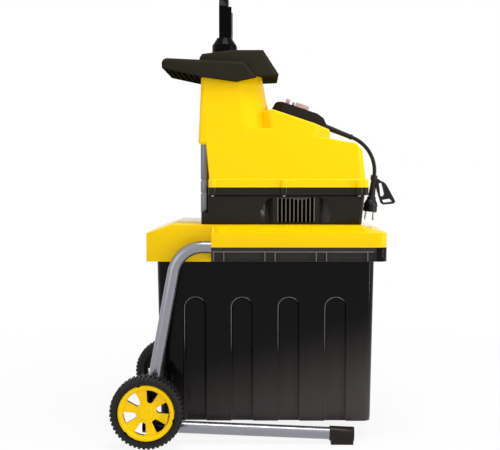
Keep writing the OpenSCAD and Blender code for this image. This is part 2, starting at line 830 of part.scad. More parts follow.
module capacitor() {
    color("#D8D8D4") bar_y(214, floor_z + 17.1, 17, -40, 40);
    color("#D8D8D4") block([204, -20, floor_z], [224, 20, floor_z + 6]);
}

module gear_plate() {
    color("#B2B5B8") difference() {
        block([-88, wall_y1, shaft_z - 58], [motor_x + 24, ga_y - 2, shaft_z + 58]);
        bar_y(roller_x, shaft_z, 12, wall_y1 - 1, ga_y);
        bar_y(motor_x, shaft_z, 8, wall_y1 - 1, ga_y);
        for (x = [first_x, second_x]) bar_y(x, shaft_z, 5.05, wall_y1 - 1, ga_y);
    }
}

module gear_pins() {
    color("#C0C2C5") for (x = [first_x, second_x]) bar_y(x, shaft_z, 5, wall_y1, cover_y - 0.5);
}

module first_gear() {
    color("#8E9195") difference() {
        union() {
            spur(first_x, module_fast, teeth_large, gc_y, gear_end, 0);
            spur(first_x, module_fast, teeth_small, gb_y, gc_y, 180 / teeth_small);
            bar_y(first_x, shaft_z, 7, ga_y, gear_end);
        }
        bar_y(first_x, shaft_z, 5 + fit, ga_y - 5, cover_y);
    }
}

module second_gear() {
    color("#8E9195") difference() {
        union() {
            spur(second_x, module_fast, teeth_large, gb_y + 1, gc_y - 1, 0);
            spur(second_x, module_slow, teeth_small, ga_y, gb_y + 1, 180 / teeth_small);
            bar_y(second_x, shaft_z, 6.8, ga_y, gear_end);
        }
        bar_y(second_x, shaft_z, 5 + fit, ga_y - 5, cover_y);
    }
}

module output_gear() {
    color("#8E9195") {
        spur(roller_x, module_slow, teeth_large, ga_y, gb_y - 1, 0);
        bar_y(roller_x, shaft_z, 13, ga_y - 0.5, gb_y + 3);
    }
}

module cover_shape(i) {
    translate([roller_x, 0]) circle(57 - i);
    translate([second_x, 0]) circle(45 - i);
    translate([first_x, 0]) circle(45 - i);
    translate([motor_x, 0]) circle(20 - i);
    translate([roller_x, i - 40]) square([first_x - roller_x, 80 - 2 * i]);
    translate([first_x, i - 20]) square([motor_x - first_x, 40 - 2 * i]);
}

module gear_cover() {
    color("#35332F") translate([0, cover_y, shaft_z]) rotate([90, 0, 0]) difference() {
        linear_extrude(cover_y - ga_y + 2) cover_shape(0);
        translate([0, 0, 3]) linear_extrude(cover_y) cover_shape(3);
        for (x = [first_x, second_x]) translate([x, 0, -1]) cylinder(r = 5.05, h = 6);
    }
}

module chute_solid(i) {
    hull() {
        translate([0, 0, top_z - 5 + i / 4]) linear_extrude(1)
            polygon([[i - 104, i - 98], [i / 2 - 27, i - 98], [19 - i, i / 2 - 53], [19 - i, 53 - i / 2],
                [i / 2 - 27, 98 - i], [i - 104, 98 - i]]);
        for (z = [inlet_z + 14, inlet_z - i / 4]) translate([feed_x, 0, z]) linear_extrude(1)
            round_rect(i - 36, 36 - i, wall_y0 + 14 - i, 8);
    }
}

module inlet_chute() {
    color("#2B2826") difference() {
        chute_solid(0);
        chute_solid(2.5);
    }
}

// Outline of the hopper cheeks seen from the side.
function cheek_pts() = [[-tray_back, top_z + 21], [-tray_back, top_z + 33], [-tray_back + 4, top_z + 39],
    [-tray_back + 11, top_z + 42], [-13, top_z + 34], [16, top_z + 1], [-29, top_z - 11], [-112, top_z + 1]];

module flare(i, h) {
    y = 112 - i + (56 + h) * 20 / 57;
    prism_x([[i - 112, top_z - 12], [112 - i, top_z - 12], [y, top_z + 44 + h], [-y, top_z + 44 + h]],
        -big / 2, big / 2);
}

function hood_pts(i) = [[-116 + i, top_z], [-116 + i, top_z + 45], [-110 + i, top_z + 54.5],
    [-43, top_z + hood_up], [32 - i * 0.6, top_z + hood_up], [68.5 - i * 1.2, top_z + 7.5 + i / 2],
    [66.5 - i * 1.2, top_z + 6]];

module hopper() {
    color("#2B2826") difference() {
        union() {
            intersection() {
                prism_y(cheek_pts(), -big / 2, big / 2);
                flare(0, 1);
            }
            prism_y(hood_pts(0), -106, 106);
        }
        // room inside the hood, open at the top and towards the tray
        prism_y([[-120, top_z + 10], [-120, top_z + 90], [29, top_z + 90],
            [29, top_z + hood_up - 2], [62, top_z + 10]], -102.5, 102.5);
        // room inside the tray above its sloped floor
        intersection() {
            prism_y([[-tray_back + 4, top_z + 32], [-tray_back + 4, top_z + 90], [-112, top_z + 90],
                [-112, top_z + 12]], -big / 2, big / 2);
            flare(4, 60);
        }
        // hollow under the sloped tray floor, with ribs across it
        difference() {
            intersection() {
                prism_y([[-tray_back + 4, top_z - 9], [-tray_back + 4, top_z + 28.5], [-119, top_z + 9.8],
                    [-119, top_z - 9]], -big / 2, big / 2);
                flare(4, 0);
            }
            for (x = [-189, -174, -159, -144, -130]) block([x - 1.5, -big / 2, top_z - 20],
                                                      [x + 1.5, big / 2, top_z + 60]);
        }
        // throat into the tower
        translate([0, 0, top_z - 40]) linear_extrude(60) polygon([[-108, -103], [-24, -103], [25, -53],
            [25, 53], [-24, 103], [-108, 103]]);
        // seat over the tower top
        intersection() {
            prism_y([[-118 - gap, plate_top], [-112.5 - gap, top_z + 0.1], [30 + gap, top_z + 0.1],
                [48 + gap, top_z - 78], [62, plate_top]], -big / 2, big / 2);
            prism_x(taper_pts(-gap), -big / 2, big / 2);
            chamfer_keep(-gap);
        }
    }
}

module plunger_body() {
    z0 = inlet_z;
    z1 = top_z + 81;
    color("#2B2826") translate([feed_x, 0, 0]) difference() {
        union() {
            translate([0, 0, z0 + gap]) linear_extrude(z1 - z0 - gap) stadium(plunger_t, plunger_w);
            translate([0, 0, z0 - 11]) linear_extrude(12) stadium(46, 2 * wall_y0 - 10);
            translate([0, 0, z1 - 1]) linear_extrude(5) stadium(plunger_t - 10, plunger_w - 10);
        }
        translate([0, 0, z0 + 4]) linear_extrude(z1 - z0 - 8) stadium(plunger_t - 6, plunger_w - 6);
    }
}

module plunger_grip() {
    z0 = top_z + 85;
    z1 = top_z + plunger_up;
    color("#2B2826") difference() {
        union() {
            translate([feed_x, 0, z0]) linear_extrude(10) stadium(36, 126);
            prism_x([[-56, z0 + 8], [56, z0 + 8], [58, z1 - 24], [44, z1 - 4], [30, z1], [-30, z1],
                [-44, z1 - 4], [-58, z1 - 24]], feed_x - 12.5, feed_x + 9);
            prism_x([[-52, z0 + 6], [52, z0 + 6], [54, z1 - 26], [-54, z1 - 26]], feed_x + 8, feed_x + 17);
        }
        prism_x([[-38, z0 + 30], [-30, z0 + 22], [30, z0 + 22], [38, z0 + 30], [38, z1 - 34], [30, z1 - 26],
            [-30, z1 - 26], [-38, z1 - 34]], feed_x - 40, feed_x + 40);
    }
}

// Places a piece on the switch pad: local X runs down the slope.
module at_pad() {
    translate([pad_x, 0, pad_z]) rotate([0, pad_slope, 0]) children();
}

function switch_pts(i) = let (z = i > 0 ? 2 : 0, h = switch_h - i)
    [[-10 + i * 1.2, z], [-5.5 + i, h - 7], [-1 + i, h - 2.5], [8 + i / 2, h], [98 - i / 2, h],
    [116 - i, h - 5], [129 - i, switch_h - 18 - i / 3], [133 - i, z]];

module switch_box() {
    w = switch_w / 2;
    color("#2B2826") at_pad() difference() {
        intersection() {
            prism_y(switch_pts(0), -w, w);
            linear_extrude(80)
                polygon([[-14, 28 - w], [14, -w], [103, -w], [140, 14 - w], [140, w - 14], [103, w], [14, w],
                    [-14, w - 28]]);
        }
        intersection() {
            prism_y(switch_pts(2.5), 12 - w, w - 12);
            block([12, -w, -1], [140, w, 2 * switch_h]);
        }
        translate([22, 0, 10]) cylinder(r = 4 + fit, h = 30);
        translate([start_x, 0, 10]) cylinder(r = 6 + fit, h = 30);
        translate([stop_x, 0, 10]) cylinder(r = 6 + fit, h = 30);
        translate([94, 18, 10]) cylinder(r = 5 + fit, h = 30);
        translate([60, 0, -1]) cylinder(r = 8, h = 6);
        sleeve_at() translate([0, 0, -20]) cylinder(r = 7.05, h = 60);
    }
    color("#2B2826") at_pad() for (s = [-1, 1]) difference() {
        block([34.5, s * 13 - 3, switch_h - 1], [40, s * 13 + 3, switch_h + 9.3]);
        translate([38, s * 13 - 9, switch_h + 6]) rotate([-90, 0, 0]) cylinder(r = 2 + fit, h = 18);
    }
}

module stop_flap() {
    color("#D8261F") at_pad() {
        difference() {
            block([42.4, -18, switch_h + gap], [76, 18, switch_h + 12]);
            block([44.4, -16, switch_h - 1], [74, 16, switch_h + 10]);
        }
        block([36, -9.4, switch_h + 4], [43, 9.4, switch_h + 8]);
        translate([38, -17, switch_h + 6]) rotate([-90, 0, 0]) cylinder(r = 2, h = 34);
    }
}

module start_button() {
    color("#2F9E44") at_pad() translate([start_x, 0, switch_h - 12]) {
        cylinder(r = 6, h = 17);
        cylinder(r = 6.8, h = 4);
    }
}

module stop_button() {
    color("#C8201C") at_pad() translate([stop_x, 0, switch_h - 12]) {
        cylinder(r = 6, h = 17);
        cylinder(r = 6.8, h = 4);
    }
}

module reset_cap() {
    color("#F2B8B4") at_pad() translate([22, 0, switch_h - 12]) {
        cylinder(r = 4, h = 26);
        translate([0, 0, 16.2]) cylinder(r = 5, h = 8);
    }
}

module selector_knob() {
    color("#1C1B1C") at_pad() translate([94, 18, 0]) {
        translate([0, 0, switch_h - 8]) cylinder(r = 5, h = 9);
        translate([0, 0, switch_h + gap]) cylinder(r = 9, h = 2.5);
        translate([-8, -1.5, switch_h + 2]) cube([16, 3, 2.4]);
    }
}

// Places a piece on the lead sleeve: local Z runs out along it.
module sleeve_at() {
    d = sleeve_q - sleeve_p;
    translate([sleeve_p[0], 0, sleeve_p[1]]) rotate([0, atan2(d[0], d[1]), 0]) children();
}

module lead_sleeve() {
    color("#252324") at_pad() sleeve_at() difference() {
        union() {
            translate([0, 0, -1]) cylinder(r = 7, h = 9);
            translate([0, 0, 8]) cylinder(r1 = 7, r2 = 6, h = sleeve_l - 12);
            translate([0, 0, sleeve_l - 4]) cylinder(r = 7, h = 4);
        }
        translate([0, 0, -2]) cylinder(r = lead_d / 2 + 0.05, h = sleeve_l + 4);
    }
}

// Points of the lead: through the sleeve, round the bend and into the plug.
function lead_pts() = concat([pad_pt(sleeve_p + (sleeve_q - sleeve_p) * 4 / sleeve_l)],
    [for (k = [0 : 12]) let (a = lead_a - lead_turn * k / 12) lead_c + lead_r * [cos(a), sin(a)]],
    [plug_p + 24 * [sin(plug_a), -cos(plug_a)]]);

// Sweeps a round section along points in the X Z plane.
module sweep(pts, r, n) {
    m = len(pts);
    ring = [for (k = [0 : m - 1]) let (d = pts[min(k + 1, m - 1)] - pts[max(k - 1, 0)], t = d / norm(d))
        for (j = [0 : n - 1]) [pts[k][0] + r * cos(360 * j / n) * t[1], r * sin(360 * j / n),
            pts[k][1] - r * cos(360 * j / n) * t[0]]];
    wall = [for (k = [0 : m - 2], j = [0 : n - 1]) each [
        [k * n + j, (k + 1) * n + j, k * n + (j + 1) % n],
        [k * n + (j + 1) % n, (k + 1) * n + j, (k + 1) * n + (j + 1) % n]]];
    ends = [[for (j = [0 : n - 1]) j], [for (j = [n - 1 : -1 : 0]) (m - 1) * n + j]];
    polyhedron(ring, concat(wall, ends));
}

module mains_lead() {
    color("#1C1B1C") sweep(lead_pts(), lead_d / 2, 12);
}

// Places a piece on the plug: local Z runs down towards the pins.
module at_plug() {
    translate([plug_p[0], 0, plug_p[1]]) rotate([0, 180 - plug_a, 0]) children();
}

module plug() {
    color("#1C1B1C") at_plug() difference() {
        union() {
            translate([0, 0, 6]) cylinder(r1 = 6.6, r2 = 8.8, h = plug_l - 42);
            translate([0, 0, plug_l - 37]) cylinder(r1 = 9.5, r2 = 11, h = 7.5);
            translate([0, 0, plug_l - 30]) cylinder(r1 = 12.5, r2 = 16.5, h = 12);
            translate([0, 0, plug_l - 19]) cylinder(r = 17, h = 19);
        }
        translate([0, 0, -1]) cylinder(d = lead_d + 0.1, h = 25.1);
        for (s = [-1, 1]) translate([s * pin_gap / 2, 0, plug_l - 17]) cylinder(r = 2.45, h = 30);
    }
}

module plug_pins() {
    color("#C9C2AE") at_plug() for (s = [-1, 1]) translate([s * pin_gap / 2, 0, plug_l - 16.8]) {
        cylinder(r = 2.4, h = 35);
        translate([0, 0, 35]) sphere(r = 2.4);
    }
}

module lead_hook() {
    x = plug_p[0];
    z = plug_p[1];
    color("#1C1B1C") difference() {
        union() {
            prism_y([[x + 2, z + 3], [x + 16, z - 7.5], [x + 24.5, z - 11], [x + 30, z - 17],
                [x + 51, z - 55], [x + 52, z - 59.5], [x + 47.5, z - 63.5], [x + 23, z - 66], [x + 16.5, z - 62],
                [x + 1, z - 12]], -6, 6);
            at_plug() translate([0, 0, -6]) cylinder(r = lead_d / 2 + 3.5, h = 11.8);
        }
        prism_y([[x + 11.5, z - 13.5], [x + 18.5, z - 13.5], [x + 25, z - 40], [x + 21, z - 46],
            [x + 15.5, z - 44.5]], -7, 7);
        prism_y([[x + 19.5, z - 54.5], [x + 38, z - 51.5], [x + 44.5, z - 58.5],
            [x + 23.5, z - 61.2]], -7, 7);
        at_plug() translate([0, 0, -12]) cylinder(r = lead_d / 2 + 0.6, h = 30);
        at_plug() translate([0, 0, 5.9]) cylinder(r = 9.4, h = plug_l - 42);
    }
}

deck_cover();
side_rail(-1);  // side_rail_right
side_rail(1);  // side_rail_left
frame_tube(-1);  // frame_tube_right
frame_tube(1);  // frame_tube_left
lower_tube(-1);  // lower_tube_right
lower_tube(1);  // lower_tube_left
axle_bracket(-1);  // axle_bracket_right
axle_bracket(1);  // axle_bracket_left
foot(-1);  // foot_right
foot(1);  // foot_left
axle();
axle_clips();
tyre(-1);  // tyre_right
tyre(1);  // tyre_left
wheel_disc(-1);  // wheel_disc_right
wheel_disc(1);  // wheel_disc_left
wheel_cap(-1);  // wheel_cap_right
wheel_cap(1);  // wheel_cap_left
deck_screws();
collection_box();
box_lock();
interlock_switch();
base_housing();
upper_housing();
seam_screws();
front_plate();
cutter_housing();
cutting_roller();
roller_bearings();
counter_plate();
adjusting_screw();
motor_can();
motor_stator();
motor_rotor();
motor_fan();
capacitor();
gear_plate();
gear_pins();
first_gear();
second_gear();
output_gear();
gear_cover();
inlet_chute();
hopper();
plunger_body();
plunger_grip();
switch_box();
stop_flap();
start_button();
stop_button();
reset_cap();
selector_knob();
lead_sleeve();
mains_lead();
plug();
plug_pins();
lead_hook();
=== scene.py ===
"""Looks of the garden shredder: finer surfaces, finishes, stage and camera round its frame."""

import bmesh
import bpy
import numpy as np
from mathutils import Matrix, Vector


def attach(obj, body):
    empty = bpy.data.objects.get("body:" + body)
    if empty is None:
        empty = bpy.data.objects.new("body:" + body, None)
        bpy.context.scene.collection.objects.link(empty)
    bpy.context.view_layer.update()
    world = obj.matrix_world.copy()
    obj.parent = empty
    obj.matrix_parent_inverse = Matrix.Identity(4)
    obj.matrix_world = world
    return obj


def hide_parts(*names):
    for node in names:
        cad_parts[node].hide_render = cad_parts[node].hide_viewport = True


bl_info = {
    "name": "Garden Shredder",
    "version": (1, 0, 0),
    "blender": (4, 5, 0),
    "location": "View3D > Sidebar > Shredder",
    "description": "Dresses the packed garden shredder with its skins, treads, lead and finishes",
    "category": "Object",
}

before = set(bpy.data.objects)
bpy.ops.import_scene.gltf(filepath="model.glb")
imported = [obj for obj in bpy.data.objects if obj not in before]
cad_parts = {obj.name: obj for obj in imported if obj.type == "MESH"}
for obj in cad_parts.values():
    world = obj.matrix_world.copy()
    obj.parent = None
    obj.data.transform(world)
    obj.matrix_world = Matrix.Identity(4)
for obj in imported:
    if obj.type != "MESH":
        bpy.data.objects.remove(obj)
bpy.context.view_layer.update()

# Camera and lamps: metres and degrees.
CAMERA_AT, CAMERA_DIP, CAMERA_PAN = (0.0259, -2.3182, 0.623), 3.29, 0.628
LAMP_TARGET = Vector((0.03, 0.0, 0.5))

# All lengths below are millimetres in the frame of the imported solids; meshes get metres.
MM = 0.001
SIDEWAYS = np.array([0, 1, 0])
SIDES = (("right", -1), ("left", 1))
FLOOR_Z = -0.2
# wheels
AXLE_X, AXLE_Z = -229.0, 82.5
WHEEL_INNER, WHEEL_OUTER, TYRE_R = 205.0, 250.0, 82.5
CAP_BACK = -12.0
# windows of the wheel caps: centre and radius of the inner end, widest place and outer end
WINDOW_IN, WINDOW_R, WINDOW_WIDE, WINDOW_OUT = 30.0, 7.0, 50.5, 52.0
# frame tubes; the bent ones have their corner at TUBE_X and TUBE_Z and end above the axle
TUBE_Y, TUBE_R, TUBE_WALL = 186.0, 14.0, 1.5
TUBE_X, TUBE_Z, TUBE_BEND, TUBE_FRONT, TUBE_END = -161.0, 450.0, 68.0, 280.5, 16.0
LOW_FRONT, LOW_REAR = (234, 0, 21), (-239, 0, 40)
# tower, whose sides draw in with height above the seam, and the sloped pad of the switch
SEAM_Z, TOP_Z, SEAM_Y = 585.0, 840.0, 150.0
TAPER = 42.0 / 255.0
PAD_X, PAD_Z, PAD_SLOPE = 60.0, 764.0, np.radians(18.7)
LIP_REAR, LIP_CORNER = -94.0, 12.0
# mains lead: ends of its sleeve along and above the pad, and its bend
SLEEVE_NEAR, SLEEVE_FAR = (128, 8), (199, 4.5)
LEAD_BEND, LEAD_TURN = 88.0, 75.0
# collection box: centres of its corner arcs at the rim, its heights and its flutes
BOX_REAR, BOX_FRONT, BOX_SIDE, BOX_CORNER = -191.5, 267.5, 135.0, 22.0
BOX_RIM, BOX_FOOT, FOOT_CURVE = 440.0, 42.0, 9.0
FLUTES, FLUTE_TOP, FLUTE_EDGE = np.array([-124.0, -16.0, 92.0, 200.0]), 307.0, 25.5
# ribs of the rails, vent slots of the base and the gap under its band
RIB_X, RIB_PITCH, RIB_HALF, RAIL_TOP, RAIL_SIDE = -67.5, 115.2, 11.5, 441.3, 210.9
VENT_X, VENT_PITCH, BASE_FOOT, BASE_RISE = 108.0, 9.3, 499.0, 86.0
BAND_Z, BAND_SIDE = 565.7, 149.2
PLUNGER_X = -60.0


def linear(code):
    """An sRGB hex colour as linear red, green and blue."""
    c = np.array([int(code[k : k + 2], 16) for k in (1, 3, 5)]) / 255
    return tuple(np.where(c <= 0.04045, c / 12.92, ((c + 0.055) / 1.055) ** 2.4).tolist())


def step(x, low, high):
    """Smooth step from 0 at low to 1 at high: three t squared less two t cubed."""
    t = np.clip((x - low) / (high - low), 0, 1)
    return t * t * (3 - 2 * t)


# Meshes


def grid_faces(rows, columns, close_rows=False):
    """Quads of a grid of points counted row by row. Every row is a ring, and a grid with closed
    rows also joins its last ring to its first."""
    i, j = np.meshgrid(
        np.arange(rows if close_rows else rows - 1), np.arange(columns), indexing="ij"
    )
    a, b = (i + 1) % rows, (j + 1) % columns
    corners = [i * columns + j, a * columns + j, a * columns + b, i * columns + b]
    return np.stack(corners, -1).reshape(-1, 4)


def closed(points):
    """The shell of a grid that is closed both ways, like the skin of a ring or of a pipe's wall."""
    return points, grid_faces(*points.shape[:2], True)


def capped(points):
    """The shell of a grid of rings, with a polygon over its first ring and its last."""
    rows, columns = points.shape[:2]
    ring = np.arange(columns)
    return points, grid_faces(rows, columns), ring[::-1], ring + (rows - 1) * columns


def smooth(mesh, crease):
    """Shades a mesh smooth, apart from edges that turn by more than the crease in degrees."""
    mesh.polygons.foreach_set("use_smooth", np.ones(len(mesh.polygons), bool))
    mesh.set_sharp_from_angle(angle=np.radians(crease))


def make_piece(name, shells, material, body, replaced, crease):
    """Puts shells into one mesh that rides on a body. A shell is its points in millimetres, its
    quads and any polygons that close its ends."""
    mesh = bpy.data.meshes.new(name)
    points, faces, start = [], [], 0
    for shape, quads, *ends in shells:
        points.append(shape.reshape(-1, 3) * MM)
        faces += (quads + start).tolist() + [(end + start).tolist() for end in ends]
        start += len(points[-1])
    mesh.from_pydata(np.concatenate(points).tolist(), [], faces)
    work = bmesh.new()
    work.from_mesh(mesh)
    bmesh.ops.remove_doubles(work, verts=work.verts, dist=1e-6)
    bmesh.ops.recalc_face_normals(work, faces=work.faces)
    work.to_mesh(mesh)
    work.free()
    smooth(mesh, crease)
    return place(name, mesh, material, body, replaced)


def place(name, mesh, material, body, replaced):
    """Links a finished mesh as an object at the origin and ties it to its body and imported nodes."""
    piece = bpy.data.objects.new(name, mesh)
    bpy.context.scene.collection.objects.link(piece)
    mesh.materials.append(material)
    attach(piece, body)
    if replaced:
        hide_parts(*replaced)
    return piece


def turned(profile, count):
    """A profile of radius and height turned about Z: x = r cos a, y = r sin a, z = height."""
    a = np.linspace(0, 2 * np.pi, count, endpoint=False)
    r, z = np.asarray(profile, float).T[:, :, None]
    return np.stack([r * np.cos(a), r * np.sin(a), np.repeat(z, count, 1)], -1)


def swept(path, radius, count):
    """A circle carried along points in the plane of X and Z: path plus r cos a times its normal
    plus r sin a along Y."""
    along = np.gradient(path, axis=0)
    along /= np.linalg.norm(along, axis=1)[:, None]
    normal = np.stack([along[:, 2], np.zeros(len(path)), -along[:, 0]], 1)
    a = np.linspace(0, 2 * np.pi, count, endpoint=False)[:, None]
    r = np.broadcast_to(radius, len(path))[:, None, None]
    return path[:, None] + r * (np.cos(a) * normal[:, None] + np.sin(a) * SIDEWAYS)


def aim(points, origin, axis):
    """Turns points whose Z is the axis of a piece to a direction in the plane of X and Z, then
    moves them: origin plus x across plus y sideways plus z along."""
    along = axis / np.linalg.norm(axis)
    across = np.array([along[2], 0, -along[0]])
    x, y, z = points[..., :1], points[..., 1:2], points[..., 2:]
    return origin + x * across + y * SIDEWAYS + z * along


# Materials


def add(tree, kind, values=None, **settings):
    """Adds one node with its settings; a value is a number, a colour or the socket that feeds
    it."""
    made = tree.nodes.new(kind)
    for key, value in settings.items():
        setattr(made, key, value)
    for key, value in (values or {}).items():
        if isinstance(value, bpy.types.NodeSocket):
            tree.links.new(value, made.inputs[key])
        else:
            made.inputs[key].default_value = value
    return made


def new_material(name):
    """An empty node material: the material, its tree, its shader and its Object coordinates."""
    material = bpy.data.materials.new(name)
    material.use_nodes = True
    tree = material.node_tree
    where = add(tree, "ShaderNodeTexCoord").outputs["Object"]
    return material, tree, tree.nodes["Principled BSDF"], where


def rgba(colour):
    """Red, green and blue with full cover, as a colour socket takes them."""
    return (*colour, 1.0)


def tune(material, socket, value):
    """Sets one value on a material's shader."""
    material.node_tree.nodes["Principled BSDF"].inputs[socket].default_value = value


def patterned(tree, tones, tone_noise, rough, relief_noise, strength, relief):
    """Feeds a shader from two noises. One mixes two tones and swings the roughness between two
    values, the other lifts the surface by a relief in millimetres."""
    share = tone_noise.outputs["Fac"]
    mix = {0: share, 6: rgba(tones[0]), 7: rgba(tones[1])}
    swing = {"Value": share, 1: 0.3, 2: 0.7, 3: rough[0], 4: rough[1]}
    lift = {"Height": relief_noise.outputs["Fac"], "Strength": strength, "Distance": relief * MM}
    tone = add(tree, "ShaderNodeMix", mix, data_type="RGBA").outputs[2]
    gloss = add(tree, "ShaderNodeMapRange", swing).outputs[0]
    bump = add(tree, "ShaderNodeBump", lift).outputs[0]
    shader = tree.nodes["Principled BSDF"]
    for socket, feed in (("Base Color", tone), ("Roughness", gloss), ("Normal", bump)):
        tree.links.new(feed, shader.inputs[socket])


def moulded(name, colour, shade, rough, grain, relief, shine=0.5, cloud=160):
    """Injection-moulded plastic. A spark-eroded mould leaves a fine pebble, and flow in the mould
    gives the tone and the gloss a slow drift. Grain and cloud are the sizes of pebble and drift in
    millimetres, and shine is how much of a bare surface's reflection the pebble leaves."""
    material, tree, shader, where = new_material(name)
    slow = {"Vector": where, "Scale": 1 / (cloud * MM), "Detail": 3.0}
    fine = {"Vector": where, "Scale": 1 / (grain * MM), "Detail": 2.0, "Roughness": 0.6}
    drift = add(tree, "ShaderNodeTexNoise", slow)
    pebble = add(tree, "ShaderNodeTexNoise", fine)
    shader.inputs["Specular IOR Level"].default_value = shine
    patterned(tree, (colour, shade), drift, (rough - 0.05, rough + 0.05), pebble, 0.5, relief)
    return material


def paint_sheen(material, sheen_tone, low, high):
    """A paler tone that paints a sheen towards the foot of a wall and its front end. Its share grows
    by a smooth step of u = 0.3 x - z, in metres, between two places."""
    tree = material.node_tree
    base = tree.nodes["Principled BSDF"].inputs["Base Color"]
    tone = base.links[0].from_socket
    where = add(tree, "ShaderNodeTexCoord").outputs["Object"]
    weights = {0: where, 1: (0.3, 0.0, -1.0)}
    slope = add(tree, "ShaderNodeVectorMath", weights, operation="DOT_PRODUCT")
    ends = {"Value": slope.outputs["Value"], 1: low, 2: high, 3: 0.0, 4: 1.0}
    share = add(tree, "ShaderNodeMapRange", ends, interpolation_type="SMOOTHSTEP")
    mix = {0: share.outputs[0], 6: tone, 7: rgba(sheen_tone)}
    tree.links.new(add(tree, "ShaderNodeMix", mix, data_type="RGBA").outputs[2], base)


def metal(name, colour, shade, rough, stretch, grain, relief):
    """Bare or plated metal. Drawing, casting or turning leaves marks of a grain in millimetres,
    drawn out by the three numbers of stretch, that break up its reflections."""
    material, tree, shader, where = new_material(name)
    drawn = add(tree, "ShaderNodeMapping", {"Vector": where, "Scale": stretch}).outputs[0]
    fine = {"Vector": drawn, "Scale": 1 / (grain * MM), "Detail": 3.0}
    marks = add(tree, "ShaderNodeTexNoise", fine)
    shader.inputs["Metallic"].default_value = 1.0
    patterned(tree, (colour, shade), marks, (rough - 0.06, rough + 0.06), marks, 0.3, relief)
    return material


def finishes(looks):
    """Every finish of the machine by name, made once."""
    made = {m.name: m for m in bpy.data.materials}
    if "yellow_abs" in made:
        return made
    # The pebble of the moulds is under 0.5 mm; it is drawn at 1.5 to 3.5 mm so that it shows.
    # ABS from polished moulds: clear, strong colour under an even gloss.
    moulded("yellow_abs", tuple(looks.yellow), linear("#FCCC00"), 0.11, 3.0, 0.008, 0.12)
    moulded("red_abs", linear("#D8261F"), linear("#B81A17"), 0.3, 2.0, 0.02)
    moulded("green_abs", linear("#2F9E44"), linear("#278A3A"), 0.3, 2.0, 0.02)
    # Polypropylene: warm black with a soft gleam, duller and greyer where the pebble is coarse.
    moulded("black_pp", tuple(looks.black), linear("#221D18"), 0.18, 2.2, 0.012, 0.16)
    moulded("rail_pp", linear("#2E2C2B"), linear("#353230"), 0.3, 2.2, 0.03, 0.12)
    moulded("hopper_pp", linear("#2A2720"), linear("#322F25"), 0.42, 2.0, 0.05, 0.0)
    moulded("wheel_pp", linear("#100F10"), linear("#171517"), 0.5, 2.0, 0.05, 0.2)
    # The same in a pale grey that paints highlights along edges, and fresh from a smooth mould,
    # nearly jet black.
    moulded("scuffed_pp", linear("#8A8580"), linear("#77726D"), 0.5, 1.5, 0.05, 0.2, 40)
    moulded("plunger_pp", linear("#060505"), linear("#0A0909"), 0.12, 2.0, 0.008, 0.03)
    # Polyethylene: waxy deep black, with a painted sheen that lightens its walls towards the foot and
    # the front end.
    box = moulded("box_pe", tuple(looks.box), linear("#0B0909"), 0.13, 3.5, 0.008, 0.1, 220)
    paint_sheen(box, linear("#443E3E"), -0.23, 0.01)
    # Vulcanised rubber and extruded PVC: dull black with a faint sheen.
    moulded("black_rubber", tuple(looks.tyre), linear("#211E1E"), 0.5, 1.6, 0.05, 0.2, 40)
    moulded("lead_pvc", linear("#131112"), linear("#1B1819"), 0.34, 1.5, 0.04, 0.25, 50)
    # Inside: glass-filled nylon, matt grey; a pale plastic case; windings under brown varnish.
    moulded("fan_nylon", linear("#3A3B3D"), linear("#2E2F31"), 0.55, 2.0, 0.05)
    moulded("pale_case", linear("#D8D8D4"), linear("#C9C9C4"), 0.45, 2.5, 0.03)
    moulded("stator_varnish", linear("#7D6A52"), linear("#5E4A36"), 0.35, 1.5, 0.1)
    # Acrylic: tinted and milky over the reset button, nearly clear over the stop button.
    cap = moulded("pink_acrylic", linear("#F6C3BE"), linear("#EFA9A3"), 0.14, 3.0, 0.01)
    tune(cap, "Transmission Weight", 0.55)
    flap = moulded("clear_acrylic", linear("#F8E2DE"), linear("#F3D3CE"), 0.1, 3.0, 0.005)
    tune(flap, "Transmission Weight", 0.8)
    # Zinc-plated drawn tube: a smooth grey mirror, a little dulled by the film on the plating.
    tube = metal("zinc_tube", linear("#92929A"), linear("#8A8A92"), 0.26, (1, 1, 1), 60.0, 0.002)
    tune(tube, "Metallic", 0.9)
    # Die-cast aluminium: fine speckle. Turned steel: fine streaks. Nickel plate: a warm shine.
    metal("cast_alloy", linear("#78767C"), linear("#6A686D"), 0.32, (1, 1, 0.4), 4.0, 0.06)
    metal("turned_steel", linear("#A4A7AB"), linear("#8E9195"), 0.34, (1, 0.3, 1), 2.5, 0.03)
    metal("pin_nickel", linear("#CFC7B0"), linear("#B8AE92"), 0.2, (1, 1, 0.3), 1.5, 0.01)
    return {m.name: m for m in bpy.data.materials}


# Properties


class ShredderLooks(bpy.types.PropertyGroup):
    """Colours and sizes of the finer surfaces."""

    yellow: bpy.props.FloatVectorProperty(
        name="Housing yellow",
        description="Colour of the deck, tower and wheel caps",
        subtype="COLOR",
        default=linear("#FFD400"),
    )
    black: bpy.props.FloatVectorProperty(
        name="Housing black",
        description="Colour of the base, feet, brackets and switch box",
        subtype="COLOR",
        default=linear("#1C1814"),
    )
    box: bpy.props.FloatVectorProperty(
        name="Box black",
        description="Colour of the collection box",
        subtype="COLOR",
        default=linear("#060505"),
    )
    tyre: bpy.props.FloatVectorProperty(
        name="Tyre black",
        description="Colour of the tyres",
        subtype="COLOR",
        default=linear("#191718"),
    )
    lugs: bpy.props.IntProperty(
        name="Lugs", description="Blocks round one row of the tread", default=48, min=24, max=72
    )
    lug_depth: bpy.props.FloatProperty(
        name="Lug depth",
        description="How far the blocks stand out of the tyre",
        default=0.0035,
        unit="LENGTH",
    )
    skin_round: bpy.props.FloatProperty(
        name="Tower edge",
        description="Width of the rounded edges of the yellow tower",
        default=0.0055,
        unit="LENGTH",
    )
    lead_width: bpy.props.FloatProperty(
        name="Lead", description="Diameter of the mains lead", default=0.0095, unit="LENGTH"
    )


